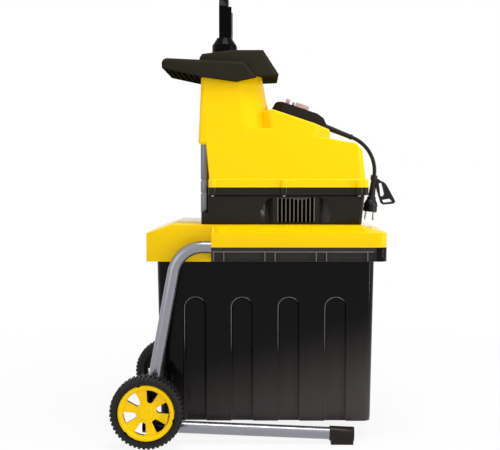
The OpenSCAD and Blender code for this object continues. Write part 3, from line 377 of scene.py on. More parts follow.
class ShredderStage(bpy.types.PropertyGroup):
    """Camera and lamps."""

    lens: bpy.props.FloatProperty(
        name="Lens", description="Focal length on a 36 mm frame, in millimetres", default=67.9
    )
    key: bpy.props.FloatProperty(
        name="Key lamp", description="Power of the lamp above the camera", default=3.0, unit="POWER"
    )
    fill: bpy.props.FloatProperty(
        name="Fill lamp",
        description="Power of the wide lamp from the left",
        default=10.0,
        unit="POWER",
    )
    strip: bpy.props.FloatProperty(
        name="Strip lamp",
        description="Power of the tall lamp at the right",
        default=21.0,
        unit="POWER",
    )
    top: bpy.props.FloatProperty(
        name="Top lamp", description="Power of the lamp overhead", default=31.0, unit="POWER"
    )
    sky: bpy.props.FloatProperty(
        name="Surround", description="Strength of the pale room around the object", default=0.54
    )


# Operators


class SHREDDER_OT_stage(bpy.types.Operator):
    """Sets the camera of the photograph, the lamps, the pale room and the floor."""

    bl_idname = "shredder.stage"
    bl_label = "Stage and camera"

    def execute(self, context):
        scene, stage = context.scene, context.scene.shredder_stage
        scene.view_settings.view_transform = "Standard"
        eye = bpy.data.cameras.new("camera")
        eye.lens, eye.sensor_width = stage.lens, 36.0
        eye.clip_start, eye.clip_end = 0.05, 50.0
        camera = bpy.data.objects.new("camera", eye)
        camera.location = CAMERA_AT
        camera.rotation_euler = (np.radians(90 - CAMERA_DIP), 0, np.radians(CAMERA_PAN))
        scene.collection.objects.link(camera)
        scene.camera = camera
        self.lamps(scene, stage)
        self.room(scene, stage)
        self.floor(scene)
        return {"FINISHED"}

    def lamps(self, scene, stage):
        """Four soft boxes that face the middle of the object."""
        for name, power, at, size in (
            ("key", stage.key, (0.8, -1.7, 2.3), (0.7, 0.7)),
            ("fill", stage.fill, (-1.9, -2.2, 1.1), (1.6, 1.6)),
            ("strip", stage.strip, (2.1, -0.9, 0.8), (0.07, 1.9)),
            ("top", stage.top, (0.2, -0.6, 2.7), (1.2, 0.7)),
        ):
            lamp = bpy.data.lights.new(name, "AREA")
            lamp.shape, lamp.energy = "RECTANGLE", power
            lamp.size, lamp.size_y = size
            holder = bpy.data.objects.new(name, lamp)
            holder.location = at
            facing = LAMP_TARGET - Vector(at)
            holder.rotation_euler = facing.to_track_quat("-Z", "Y").to_euler()
            scene.collection.objects.link(holder)

    def seen(self, tree, *kinds):
        """One for a ray of any of these kinds and zero for the others."""
        rays = add(tree, "ShaderNodeLightPath").outputs
        any_kind = rays[f"Is {kinds[0]} Ray"]
        for kind in kinds[1:]:
            pair = {0: any_kind, 1: rays[f"Is {kind} Ray"]}
            any_kind = add(tree, "ShaderNodeMath", pair, operation="MAXIMUM").outputs[0]
        return any_kind

    def room(self, scene, stage):
        """A pale room: plain white to the camera and in reflections, dimmer as a lamp."""
        world = bpy.data.worlds.new("pale_room")
        scene.world = world
        world.use_nodes = True
        tree = world.node_tree
        seen = self.seen(tree, "Camera", "Glossy", "Transmission")
        level = add(tree, "ShaderNodeMapRange", {"Value": seen, 3: stage.sky, 4: 1.0})
        back = tree.nodes["Background"]
        back.inputs["Color"].default_value = (1, 1, 1, 1)
        tree.links.new(level.outputs[0], back.inputs["Strength"])

    def floor(self, scene):
        """A round white floor. Away from the object it is as bright as the room, so no horizon
        shows."""
        rings = turned([(r, FLOOR_Z) for r in (0, 400, 900, 2000, 9000)], 96)
        mesh = bpy.data.meshes.new("floor")
        faces = grid_faces(*rings.shape[:2])
        mesh.from_pydata((rings.reshape(-1, 3) * MM).tolist(), [], faces.tolist())
        floor = bpy.data.objects.new("floor", mesh)
        scene.collection.objects.link(floor)
        material, tree, shader, where = new_material("white_floor")
        shader.inputs["Base Color"].default_value = rgba(linear("#F2F2F2"))
        shader.inputs["Roughness"].default_value = 0.9
        far = add(tree, "ShaderNodeVectorMath", {0: where}, operation="LENGTH").outputs["Value"]
        fade = add(tree, "ShaderNodeMapRange", {"Value": far, 1: 0.4, 2: 1.6, 3: 0.88, 4: 1.0})
        both = {0: fade.outputs[0], 1: self.seen(tree, "Camera", "Glossy")}
        share = add(tree, "ShaderNodeMath", both, operation="MULTIPLY").outputs[0]
        glow = add(tree, "ShaderNodeEmission", {"Strength": 1.0}).outputs[0]
        mixed = add(tree, "ShaderNodeMixShader", {0: share, 1: shader.outputs[0], 2: glow})
        tree.links.new(mixed.outputs[0], tree.nodes["Material Output"].inputs["Surface"])
        mesh.materials.append(material)


class SHREDDER_OT_lead(bpy.types.Operator):
    """Makes the short mains lead with its sleeve and its plug."""

    bl_idname = "shredder.lead"
    bl_label = "Lead and plug"

    def execute(self, context):
        looks = context.scene.shredder_looks
        skin = finishes(looks)["lead_pvc"]
        down = np.array([np.cos(PAD_SLOPE), 0, -np.sin(PAD_SLOPE)])
        up = np.array([np.sin(PAD_SLOPE), 0, np.cos(PAD_SLOPE)])
        pad = np.array([PAD_X, 0, PAD_Z])
        near, far = (pad + along * down + rise * up for along, rise in (SLEEVE_NEAR, SLEEVE_FAR))
        out = (far - near) / np.linalg.norm(far - near)
        # From 8 mm inside the sleeve, round one bend, and straight on for 30 mm into the plug.
        normal = np.array([-out[2], 0, out[0]])
        turn = np.radians(np.linspace(0, LEAD_TURN, 31))[:, None]
        middle = far - LEAD_BEND * normal
        bend = middle + LEAD_BEND * (np.cos(turn) * normal + np.sin(turn) * out)
        drop = np.cos(turn[-1]) * out - np.sin(turn[-1]) * normal
        start = far - np.linspace(8, 2, 3)[:, None] * out
        end = bend[-1] + np.linspace(6, 30, 5)[:, None] * drop
        path = np.concatenate([start, bend, end])
        radius = looks.lead_width / MM / 2
        tube = capped(swept(path, radius, 20))
        lead = make_piece("lead", [tube], skin, "chassis", ["mains_lead"], 50)
        plug = self.plug(bend[-1] + 6.5 * drop, drop, skin)
        self.sleeve(near, out, np.linalg.norm(far - near), radius, skin)
        return {"FINISHED"}

    def sleeve(self, near, out, length, bore, skin):
        """The bend sleeve, turned about the lead: a taper r = 7 - 1.1 z / length, less rings that
        dip by 0.35 mm every 4.6 mm and let it flex, then a collar, and back along the bore."""
        z = np.linspace(0, length - 5, 61)
        dip = 0.35 * (0.5 - 0.5 * np.cos(2 * np.pi * z / 4.6)) * step(z, 22, 30)
        outer = np.stack([7.0 - 1.1 * z / length - dip, z], 1)
        end = [[6.3, length - 4.6], [7.0, length - 4], [7.0, length - 0.6], [6.5, length]]
        inner = [[bore + 0.1, length], [bore + 0.1, 0]]
        shell = closed(aim(turned(np.concatenate([outer, end, inner]), 28), near, out))
        make_piece("bend_sleeve", [shell], skin, "chassis", ["lead_sleeve"], 30)

    def plug(self, top, drop, skin):
        """A round two-pin plug turned about the lead: a neck r = 6.6 + 0.052 (z - 6), less rings
        that dip by 0.5 mm every 5.2 mm, then waist, flared skirt and body."""
        z = np.linspace(6, 46, 60)
        dip = 0.5 * (0.5 + 0.5 * np.cos(2 * np.pi * z / 5.2))
        neck = np.stack([6.6 + 0.052 * (z - 6) - dip, z], 1)
        body = [
            [9.2, 47], [10.6, 47.6], [11.0, 49], [10.8, 53], [11.6, 54.6], [13.4, 57.5],
            [15.4, 61.5], [16.4, 64.4], [17.0, 66], [17.0, 70], [16.3, 70.6], [16.3, 72.2],
            [17.0, 72.8], [17.0, 82.6], [16.1, 83.8], [0.02, 84],
        ]
        profile = np.concatenate([[[0.02, 5.9], [6.0, 6.0]], neck, body])
        shell = capped(aim(turned(profile, 40), top, drop))
        return make_piece("plug_body", [shell], skin, "chassis", ["plug"], 32)


class SHREDDER_OT_tubes(bpy.types.Operator):
    """Makes the bent and the straight tubes of the frame."""

    bl_idname = "shredder.tubes"
    bl_label = "Frame tubes"

    def execute(self, context):
        skin = finishes(context.scene.shredder_looks)["zinc_tube"]
        # The upper run goes round an arc that touches it and the leg, which leans back to the axle.
        lean = np.arctan2(TUBE_X - AXLE_X, TUBE_Z - AXLE_Z)
        reach = TUBE_BEND * np.tan((np.pi / 2 - lean) / 2)
        centre = np.array([TUBE_X + reach, 0, TUBE_Z - TUBE_BEND])
        turn = np.linspace(0, np.pi / 2 - lean, 33)
        bend = centre + TUBE_BEND * np.stack([-np.sin(turn), 0 * turn, np.cos(turn)], 1)
        leg = np.array([AXLE_X + TUBE_END * np.sin(lean), 0, AXLE_Z + TUBE_END * np.cos(lean)])
        run = np.linspace([TUBE_FRONT, 0, TUBE_Z], bend[0], 12, endpoint=False)
        fall = np.linspace(bend[-1], leg, 12)[1:]
        bent = np.concatenate([run, bend, fall])
        low = np.linspace(LOW_FRONT, LOW_REAR, 14)
        for side, sign in SIDES:
            for name, path in (("frame_tube", bent), ("lower_tube", low)):
                self.tube(f"{name}_{side}", path + sign * TUBE_Y * SIDEWAYS, skin)
        return {"FINISHED"}

    def tube(self, node, path, skin):
        """A circle carried out along the path as the outer wall and back as the inner wall, so the
        open ends are closed by their rims."""
        outer, inner = (swept(path, r, 48) for r in (TUBE_R, TUBE_R - TUBE_WALL))
        shell = closed(np.concatenate([outer, inner[::-1]]))
        make_piece(f"{node}_bar", [shell], skin, "chassis", [node], 50)


class SHREDDER_OT_tyres(bpy.types.Operator):
    """Makes the tyres with two staggered rows of tread blocks."""

    bl_idname = "shredder.tyres"
    bl_label = "Tyres"

    def execute(self, context):
        looks = context.scene.shredder_looks
        skin = finishes(looks)["black_rubber"]
        r, across, a = self.tread(looks.lugs, looks.lug_depth / MM)
        for side, sign in SIDES:
            points = np.stack(
                [AXLE_X + r * np.cos(a), sign * across, AXLE_Z + r * np.sin(a)], -1
            )
            body, node = f"wheel_{side}", f"tyre_{side}"
            make_piece(f"tread_{side}", [closed(points)], skin, body, [node], 28)
        return {"FINISHED"}

    def tread(self, lugs, deep):
        """A section turned about the axle: r = groove + raised times (block - groove). Raised is
        one on a block and falls to zero at its ends by a smooth step. The second row stands half a
        block on."""
        groove = TYRE_R - deep
        # radius in a groove, radius on a block, place across and row of blocks
        half = np.array(
            [
                [66.0, 66.0, 0.0, 0], [68.5, 68.5, 0.0, 0], [69.2, 69.2, 0.7, 0],
                [70.4, 70.4, 0.7, 0], [71.0, 71.0, 0.0, 0], [74.6, 74.6, 0.3, 0],
                [75.4, 77.0, 1.0, 1], [77.4, 79.6, 2.2, 1], [groove, 81.9, 4.0, 1],
                [groove, 82.44, 6.0, 1], [groove, 82.44, 13.0, 1], [groove, 82.44, 20.6, 1],
                [groove, 82.1, 21.0, 1], [82.4 - deep, 82.4 - deep, 21.3, 0],
            ]
        )
        other = half[::-1].copy()
        other[:, 2] = WHEEL_OUTER - WHEEL_INNER - other[:, 2]
        other[:, 3] *= 2
        low, high, across, row = np.concatenate([half, other]).T[:, :, None]
        # places along one block and its gap, close together at the ends of the block
        marks = np.array([-0.5, -0.3, -0.26, -0.24, -0.2, -0.08, 0.08, 0.2, 0.24, 0.26, 0.3])
        turn = (np.arange(lugs)[:, None] + marks).ravel()
        off = np.abs((turn + np.where(row == 2, 0.5, 0.0) + 0.5) % 1 - 0.5)
        raised = np.where(row > 0, 1 - step(off, 0.24, 0.3), 0)
        r = low + raised * (high - low)
        return r, np.repeat(across + WHEEL_INNER, len(turn), 1), turn * 2 * np.pi / lugs


class SHREDDER_OT_wheel_caps(bpy.types.Operator):
    """Makes the yellow wheel caps: proud ring, dished spokes between six windows and a hub boss."""

    bl_idname = "shredder.wheel_caps"
    bl_label = "Wheel caps"

    def execute(self, context):
        skin = finishes(context.scene.shredder_looks)["yellow_abs"]
        shells = [self.ring(), self.boss()] + [self.spoke(k) for k in range(6)]
        hub = np.array([AXLE_X, WHEEL_OUTER, AXLE_Z])
        for side, sign in SIDES:
            mirror = np.array([1, sign, 1])
            placed = [((hub + p[..., [0, 2, 1]]) * mirror, *faces) for p, *faces in shells]
            body, node = f"wheel_{side}", f"wheel_cap_{side}"
            make_piece(f"cap_{side}", placed, skin, body, [node], 40)
        return {"FINISHED"}

    def ring(self):
        """The proud outer ring: a crowned section of radius and depth turned about the axle, with
        three notches that cut its edge back to 61.2 mm."""
        section = np.array(
            [
                [53.2, CAP_BACK], [52.6, -8.6], [53.4, -4.2], [54.6, -2.0], [56.4, -1.1],
                [59.0, -1.0], [61.6, -1.3], [63.2, -2.4], [64.0, -4.6], [64.0, -8.0], [60.0, -8.0],
                [60.0, CAP_BACK],
            ]
        )
        a = np.radians(np.linspace(0, 360, 360, endpoint=False))
        turns = [(np.degrees(a) - c + 180) % 360 - 180 for c in (-15, 105, 225)]
        notch = 1 - step(np.min(np.abs(turns), axis=0), 2.9, 3.9)
        r = section[:, :1] - notch * np.clip(section[:, :1] - 61.2, 0, None)
        z = np.repeat(section[:, 1:], len(a), 1)
        return closed(np.stack([r * np.cos(a), r * np.sin(a), z], -1))

    def boss(self):
        """The hub boss, turned: a low disc with a rounded edge and a slight hollow in its face."""
        profile = [
            [0.02, -11.8], [15.6, -11.8], [15.9, -8.2], [15.6, -6.9], [14.9, -6.2], [13.6, -6.0],
            [9.0, -6.2], [0.02, -6.5],
        ]
        return capped(turned(profile, 72))

    def spoke(self, k):
        """One spoke between two windows. At each radius it spans the angle that the windows leave.
        Its face dips between hub and ring by a squared sine and rounds down at the window edges.

        Half the width of a window: a half circle about its inner centre, then straight sides that
        spread to twice its radius, then a quick round end."""
        r = np.concatenate(
            [
                np.linspace(14, 22.9, 5), np.linspace(23.1, 30, 12), np.linspace(31.5, 50.5, 12),
                np.linspace(50.9, 52, 4), [53.6, 55],
            ]
        )
        inner = np.sqrt(np.clip(WINDOW_R**2 - (WINDOW_IN - r) ** 2, 0, None))
        outer = 2 * WINDOW_R * np.sqrt(np.clip((WINDOW_OUT - r) / (WINDOW_OUT - WINDOW_WIDE), 0, 1))
        window = np.where(r < WINDOW_IN, inner, WINDOW_R + (r - 29) * WINDOW_R / 21.5)
        window = np.where(r > WINDOW_WIDE, outer, window)
        window = np.where(r < WINDOW_IN - WINDOW_R, 0, window)
        span = np.pi / 6 - np.arctan2(window, r)
        u = np.array([-1, -0.97, -0.9, -0.75, -0.4, 0, 0.4, 0.75, 0.9, 0.97, 1.0])
        face = -7.6 - 1.9 * np.sin(np.pi * np.clip((r - 15) / 38, 0, 1)) ** 2
        top = face[:, None] - np.minimum(window * 0.3, 1.8)[:, None] * np.abs(u) ** 8
        a = np.radians(43 + 60 * k) + span[:, None] * u
        front = np.stack([r[:, None] * np.cos(a), r[:, None] * np.sin(a), top], -1)
        back = front[:, ::-1].copy()
        back[..., 2] = CAP_BACK
        return capped(np.concatenate([front, back], 1))


class SHREDDER_OT_tower_skin(bpy.types.Operator):
    """Makes the yellow tower with the soft edges of a moulding, its seam bosses and its lip."""

    bl_idname = "shredder.tower_skin"
    bl_label = "Tower skin"

    # outlines in X and Z, and the places of the bosses along X
    CHIMNEY = ((-118, 683), (-112.3, TOP_Z + 6), (28.9, TOP_Z + 6), (60, 683))
    BODY = (
        (-90, SEAM_Z), (-100, 683), (-100, 715), (44, 722), (247, 687.6), (262.5, 672),
        (271.5, SEAM_Z),
    )
    PAD = ((32, 690), (32, 760.5), (52, 766.7), (190, 720), (190, 690))
    BOSSES = (-84, 80.5, 253)

    def execute(self, context):
        looks = context.scene.shredder_looks
        skin = finishes(looks)["yellow_abs"]
        soft = looks.skin_round
        chimney, body, pad = (self.prism(line) for line in (self.CHIMNEY, self.BODY, self.PAD))
        for s in (-1, 1):
            # two facets take each corner of the chimney round from the side to the front
            self.cut(chimney, (-20.7, s * 111.4, 819.6), (0.414, s * 0.888, 0.201))
            self.cut(chimney, (20.9, s * 92.6, 816.7), (0.882, s * 0.411, 0.229))
            # the upright corners at the front are cut off first, so that they end up wider
            self.cut(body, (266, s * 144.5, SEAM_Z), (1, s, 0.27))
            self.cut(pad, (160, s * 118, 700), (34, s * 30, 0))
            self.cut(pad, (32, s * 106, 700), (-1, s, 0))
        self.soften(chimney, soft * 1.6)
        self.soften(body, soft)
        self.soften(pad, soft * 0.75)
        mesh = self.joined([body, chimney, pad])
        work = bmesh.new()
        work.from_mesh(mesh)
        flat = [f for f in work.faces if abs(f.normal.z) > 0.9]
        ends = [f for f in flat if self.at_end(f.calc_center_median())]
        bmesh.ops.delete(work, geom=ends, context="FACES")
        work.to_mesh(mesh)
        work.free()
        smooth(mesh, 32)
        tower = place("tower_skin", mesh, skin, "chassis", ["upper_housing"])
        wall = tower.modifiers.new("wall", "SOLIDIFY")
        wall.thickness, wall.offset = 0.003, -1.0
        even = tower.modifiers.new("even", "WEIGHTED_NORMAL")
        even.keep_sharp = True
        self.bosses(skin)
        self.lip(skin)
        return {"FINISHED"}

    def at_end(self, point):
        """Whether a point is on the open top or the open foot of the tower."""
        return point.z > (TOP_Z - 1) * MM or point.z < (SEAM_Z + 1) * MM

    def prism(self, outline):
        """A convex outline in X and Z, drawn out to the sloped side walls: y = half the width at
        the seam less taper times height."""
        x, z = np.array(outline, float).T
        y = SEAM_Y - TAPER * (z - SEAM_Z)
        points = np.concatenate([np.stack([x, y, z], 1), np.stack([x, -y, z], 1)]) * MM
        work = bmesh.new()
        corners = [work.verts.new(p) for p in points.tolist()]
        bmesh.ops.convex_hull(work, input=corners)
        limit = np.radians(1)
        bmesh.ops.dissolve_limit(work, angle_limit=limit, verts=work.verts, edges=work.edges)
        return work

    def cut(self, work, point, normal):
        """Cuts a corner off along a plane and closes the cut."""
        made = bmesh.ops.bisect_plane(
            work,
            geom=[*work.verts, *work.edges, *work.faces],
            plane_co=Vector(point) * MM,
            plane_no=Vector(normal).normalized(),
            clear_outer=True,
        )
        rim = [e for e in made["geom_cut"] if isinstance(e, bmesh.types.BMEdge)]
        bmesh.ops.edgeloop_fill(work, edges=rim)

    def soften(self, work, width):
        """Rounds every edge of a convex body that isn't on its open end."""
        bmesh.ops.recalc_face_normals(work, faces=work.faces)
        bent = [e for e in work.edges if e.calc_face_angle(0) > np.radians(4)]
        edges = [e for e in bent if not all(self.at_end(v.co) for v in e.verts)]
        bmesh.ops.bevel(
            work,
            geom=edges,
            offset=width,
            segments=5,
            profile=0.5,
            affect="EDGES",
            clamp_overlap=True,
        )

    def joined(self, works):
        """One skin of overlapping solids, by the union of their volumes."""
        parts = []
        for k, work in enumerate(works):
            mesh = bpy.data.meshes.new(f"part_{k}")
            work.to_mesh(mesh)
            work.free()
            part = bpy.data.objects.new(f"part_{k}", mesh)
            bpy.context.scene.collection.objects.link(part)
            parts.append(part)
        for part in parts[1:]:
            union = parts[0].modifiers.new("union", "BOOLEAN")
            union.operation, union.solver, union.object = "UNION", "EXACT", part
        graph = bpy.context.evaluated_depsgraph_get()
        mesh = bpy.data.meshes.new_from_object(parts[0].evaluated_get(graph))
        for part in parts:
            bpy.data.objects.remove(part)
        return mesh

    def bosses(self, skin):
        """The upper halves of the screw bosses on the seam: a profile with a softly rounded top,
        turned."""
        profile = [
            [0.02, 0], [9.5, 0], [9.5, 15.4], [9.1, 16.8], [8.0, 17.7], [6.6, 18], [0.02, 18],
        ]
        shape = turned(profile, 40)
        shells = [
            capped(shape + np.array([x, s * SEAM_Y, SEAM_Z])) for x in self.BOSSES for s in (-1, 1)
        ]
        make_piece("seam_bosses", shells, skin, "chassis", [], 40)

    def lip(self, skin):
        """The lip above the seam: a rounded rectangle whose front and sides draw in with height
        and roll over into a ledge. A point is the centre of its corner plus the corner's radius
        times cos a and sin a."""
        # height, front end and half width of each turn, the last two inside the wall
        rows = np.array(
            [
                [585, 276, 152], [601.5, 274.7, 149.2], [603.6, 274.2, 148.7],
                [604.7, 273.2, 147.7], [605, 271.6, 146.2], [605, 262, 138], [585, 262, 138],
            ]
        )
        a = np.radians(np.concatenate([np.linspace(90 * k, 90 * k + 90, 13) for k in range(4)]))
        z, front, half = rows.T[:, :, None]
        ahead, leftward = np.repeat([[1, -1, -1, 1], [1, 1, -1, -1]], 13, 1)
        middle = np.where(ahead > 0, front - LIP_CORNER, LIP_REAR + LIP_CORNER)
        x = middle + LIP_CORNER * np.cos(a)
        y = leftward * (half - LIP_CORNER) + LIP_CORNER * np.sin(a)
        points = np.stack([x, y, np.broadcast_to(z, x.shape)], -1)
        make_piece("seam_lip", [closed(points)], skin, "chassis", [], 40)


class SHREDDER_OT_box_walls(bpy.types.Operator):
    """Makes the outer walls of the collection box with their four pressed flutes a side."""

    bl_idname = "shredder.box_walls"
    bl_label = "Box walls"

    def execute(self, context):
        skin = finishes(context.scene.shredder_looks)["box_pe"]
        # places along a side, close together at the edges of the flutes
        edge = np.linspace(19, 30, 22)
        close = FLUTES[:, None] + np.concatenate([-edge, np.linspace(-17, 17, 7), edge])
        along = np.sort(np.concatenate([[BOX_REAR, -170, 38, 240, BOX_FRONT], close.ravel()]))
        across = np.linspace(BOX_SIDE, -BOX_SIDE, 9)
        turn = np.radians(np.linspace(0, 90, 9))[1:-1]
        # One turn round the rim from the front left: the straight part of each place and the
        # direction of its corner arc.
        parts = (
            (along[::-1], BOX_SIDE, np.pi / 2),
            (BOX_REAR, BOX_SIDE, np.pi / 2 + turn),
            (BOX_REAR, across, np.pi),
            (BOX_REAR, -BOX_SIDE, np.pi + turn),
            (along, -BOX_SIDE, 1.5 * np.pi),
            (BOX_FRONT, -BOX_SIDE, 1.5 * np.pi + turn),
            (BOX_FRONT, -across, 2 * np.pi),
            (BOX_FRONT, BOX_SIDE, turn),
        )
        x, y, a = np.concatenate([np.array(np.broadcast_arrays(*p)) for p in parts], 1)
        foot = BOX_FOOT + FOOT_CURVE * (1 - np.cos(np.radians(np.linspace(8, 90, 7))))
        arches = np.linspace(278, 338, 60)
        z = np.concatenate([foot, np.linspace(59, 274, 9), arches, np.linspace(344, 439.6, 7)])
        # a skin 0.3 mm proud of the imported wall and 1.9 mm thick
        outer = self.wall(x, y, a, z[:, None], 0.3)
        inner = self.wall(x, y, a, z[::-1, None], -1.6)
        shell = closed(np.concatenate([outer, inner]))
        make_piece("box_walls", [shell], skin, "box", [], 60)
        return {"FINISHED"}

    def wall(self, x, y, a, z, grow):
        """A rounded rectangle that draws in with depth, less the flutes: each is a slot with a
        round top, sunk by 4.6 mm with sides that slope over 5 mm and a bead of 1.1 mm along its
        edge. The foot of the wall rounds in on a quarter circle."""
        down = (BOX_RIM - z) / (BOX_RIM - BOX_FOOT)
        below = np.clip(BOX_FOOT + FOOT_CURVE - z, 0, FOOT_CURVE)
        foot = FOOT_CURVE - np.sqrt(np.clip(FOOT_CURVE**2 - below**2, 0, None))
        reach = BOX_CORNER - 2 * down + grow - foot
        side = np.abs(np.sin(a)) > 0.999
        inward = np.where(x > (BOX_REAR + BOX_FRONT) / 2, -1, 1) * np.where(side, 0, 1)
        wide = np.where(np.abs(y) > BOX_SIDE - 1, 1, np.abs(y) / BOX_SIDE)
        px = x + reach * np.cos(a) + inward * 5 * down
        py = y + reach * np.sin(a) - np.sign(y) * wide * 3.6 * down
        off = x[None, :, None] - FLUTES
        lift = np.clip(z - FLUTE_TOP, 0, None)[:, :, None]
        gap = np.min(np.sqrt(off**2 + lift**2), axis=2)
        bead = 1.1 * (1 - step(np.abs(gap - 26.5), 0, 2.5))
        sunk = (4.6 * (1 - step(gap, 20, 25)) - bead) * side
        py = py - np.sign(y) * sunk
        return np.stack([px, py, np.broadcast_to(z, px.shape)], -1)


class SHREDDER_OT_painted_edges(bpy.types.Operator):
    """Makes the fine beads along rail ribs, flute edges and vent bars, in a pale grey that paints
    their highlights, and a black bead that paints the shadow in the step under the band of the base."""

    bl_idname = "shredder.worn_edges"
    bl_label = "Painted edges"

    def execute(self, context):
        made = finishes(context.scene.shredder_looks)
        highlight_grey, shadow_black = made["scuffed_pp"], made["plunger_pp"]
        # pale beads paint the highlights along the rail's top edge and ribs, the flute edges and the
        # vent bars
        ribs = np.add.outer(RIB_X + RIB_PITCH * np.arange(4), [-RIB_HALF, RIB_HALF]).ravel()
        rail = [self.straight((-82, RAIL_TOP), (TUBE_FRONT, RAIL_TOP), 40, 0.8)]
        rail += [self.straight((x, 420.5), (x, 440.9), 6, 0.75) for x in ribs[ribs < 280]]
        self.beads("rail_beads", rail, lambda z: RAIL_SIDE + 0 * z, highlight_grey, "chassis")
        flutes = [self.arch(x) for x in FLUTES]
        self.beads("flute_beads", flutes, self.box_side, highlight_grey, "box", "box_plastic")
        # the vents are on the right-hand side only
        bars = VENT_X + VENT_PITCH * np.arange(-4.5, 5)
        vents = [self.straight((x, 506), (x, 561), 8, 0.85) for x in bars]
        self.beads("vent_beads", vents, self.base_side, highlight_grey, "chassis", sides=(-1,))
        # a black bead paints the shadow in the step under the band
        under = self.straight((-92, BAND_Z), (261, BAND_Z), 30, 1.2)
        self.beads("band_shadow_line", [under], lambda z: BAND_SIDE + 0 * z, shadow_black, "chassis")
        return {"FINISHED"}

    def box_side(self, z):
        """Half the width of the box at a height."""
        return 157.2 - 5.6 * (BOX_RIM - z) / (BOX_RIM - BOX_FOOT)

    def base_side(self, z):
        """Half the width of the base at a height."""
        return 142.9 + 7 * (z - BASE_FOOT) / BASE_RISE

    def straight(self, start, end, count, radius):
        """Points between two places in X and Z, and the radius at each."""
        x, z = (np.linspace(a, b, count) for a, b in zip(start, end))
        return np.stack([x, 0 * x, z], 1), np.full(count, radius)

    def arch(self, middle):
        """Up the rear edge of a flute, over its round top and a little way down the front, thinner
        at both ends by smooth steps of the share of the way."""
        turn = np.radians(np.linspace(180, 0, 37))
        rise, fall = np.linspace(80, 304, 20), np.linspace(304, 270, 6)
        over = FLUTE_EDGE * np.cos(turn)
        x = middle + np.concatenate([np.full(20, -FLUTE_EDGE), over, np.full(6, FLUTE_EDGE)])
        z = np.concatenate([rise, FLUTE_TOP + FLUTE_EDGE * np.sin(turn), fall])
        share = np.arange(len(x)) / (len(x) - 1)
        radius = 0.25 + 0.75 * step(share, 0, 0.3) * (1 - step(share, 0.62, 1))
        return np.stack([x, 0 * x, z], 1), radius

    def beads(self, name, lines, wall, skin, body, slot="black_plastic", sides=(-1, 1)):
        """Circles carried along lines on the sides of the machine, half sunk in a wall whose place
        depends on height."""
        shells = [
            capped(swept(path + s * wall(path[:, 2:]) * SIDEWAYS, radius, 8))
            for path, radius in lines
            for s in sides
        ]
        make_piece(name, shells, skin, body, [], 60)


class SHREDDER_OT_hopper_sides(bpy.types.Operator):
    """Makes the outer faces of the hopper: flared cheeks with a broad chamfer, the hood with a
    round rim, and the lip round the throat."""

    bl_idname = "shredder.hopper_sides"
    bl_label = "Hopper sides"

    # outline in X and height over the tower top, and how far each edge from there on is drawn in
    CHEEK = np.array(
        [
            [-202, 21, 0.6], [-202, 33, 0.6], [-198, 39, 0.8], [-191, 42, 1.0], [-13, 34, 1.0],
            [16, 1, 0.2], [-29, -11, 0.2], [-112, 1, 0.2],
        ]
    )
    HOOD = np.array(
        [
            [-116, 0, 1.0], [-116, 45, 1.0], [-110, 54.5, 0.9], [-43, 63.5, 0.9], [32, 63.5, 1.7],
            [68.2, 6.2, 0.0],
        ]
    )
    # width drawn in and height of each row over the faces
    CHEEK_ROWS = ((0, -2), (0, 1.0), (0.5, 1.8), (5.8, 6.6), (7.2, 7.2))
    HOOD_ROWS = ((0, -2), (0, 0.2), (0.5, 1.9), (1.6, 3.6), (3.2, 4.9), (5.4, 5.8), (8, 6.1))
    # outline of the throat in X and Y
    THROAT = np.array([[-108, -103], [-24, -103], [25, -53], [25, 53], [-24, 103], [-108, 103]])

    def execute(self, context):
        skin = finishes(context.scene.shredder_looks)["hopper_pp"]
        # the cheeks flare by 20 mm over 57 mm of height, and the hood is upright
        cheek = self.pillow(self.CHEEK, self.CHEEK_ROWS)
        cheek[..., 1] += 112 + (cheek[..., 2] - TOP_Z + 12) * 20 / 57
        hood = self.pillow(self.HOOD, self.HOOD_ROWS)
        hood[..., 1] += 106
        shells = [capped(face * np.array([1, s, 1])) for face in (cheek, hood) for s in (-1, 1)]
        make_piece("hopper_sides", shells, skin, "chassis", [], 24)
        lip = closed(self.lip(1.4))
        make_piece("throat_lip", [lip], skin, "chassis", [], 24)
        return {"FINISHED"}

    def pillow(self, outline, rows):
        """A plate on a convex outline. Each row moves the edges in by a width times their share and
        lifts them out by a height; a corner is where its two moved edges meet."""
        corner, share = outline[:, :2], outline[:, 2]
        along = np.roll(corner, -1, 0) - corner
        inward = np.stack([along[:, 1], -along[:, 0]], 1)
        inward /= np.linalg.norm(along, axis=1)[:, None]
        before = np.roll(inward, 1, 0)
        reach = (inward * corner).sum(1)
        rings = []
        for width, rise in rows:
            moved = reach + width * share
            pairs = np.stack([np.roll(moved, 1), moved], 1)[:, :, None]
            x, z = np.linalg.solve(np.stack([before, inward], 1), pairs)[:, :, 0].T
            rings.append(np.stack([x, np.full(len(x), float(rise)), z + TOP_Z], 1))
        return np.array(rings)

    def lip(self, thick):
        """A lip that hangs from the hopper's floor past the rim of the chute: the outline of the
        throat up inside, moved out by its thickness, and down outside."""
        outer = self.THROAT + np.where(self.THROAT > [-40, 0], thick, -thick)
        turns = ((self.THROAT, -12), (self.THROAT, 1), (outer, 1), (outer, -12))
        return np.array([np.column_stack([t, np.full(len(t), TOP_Z + up)]) for t, up in turns])


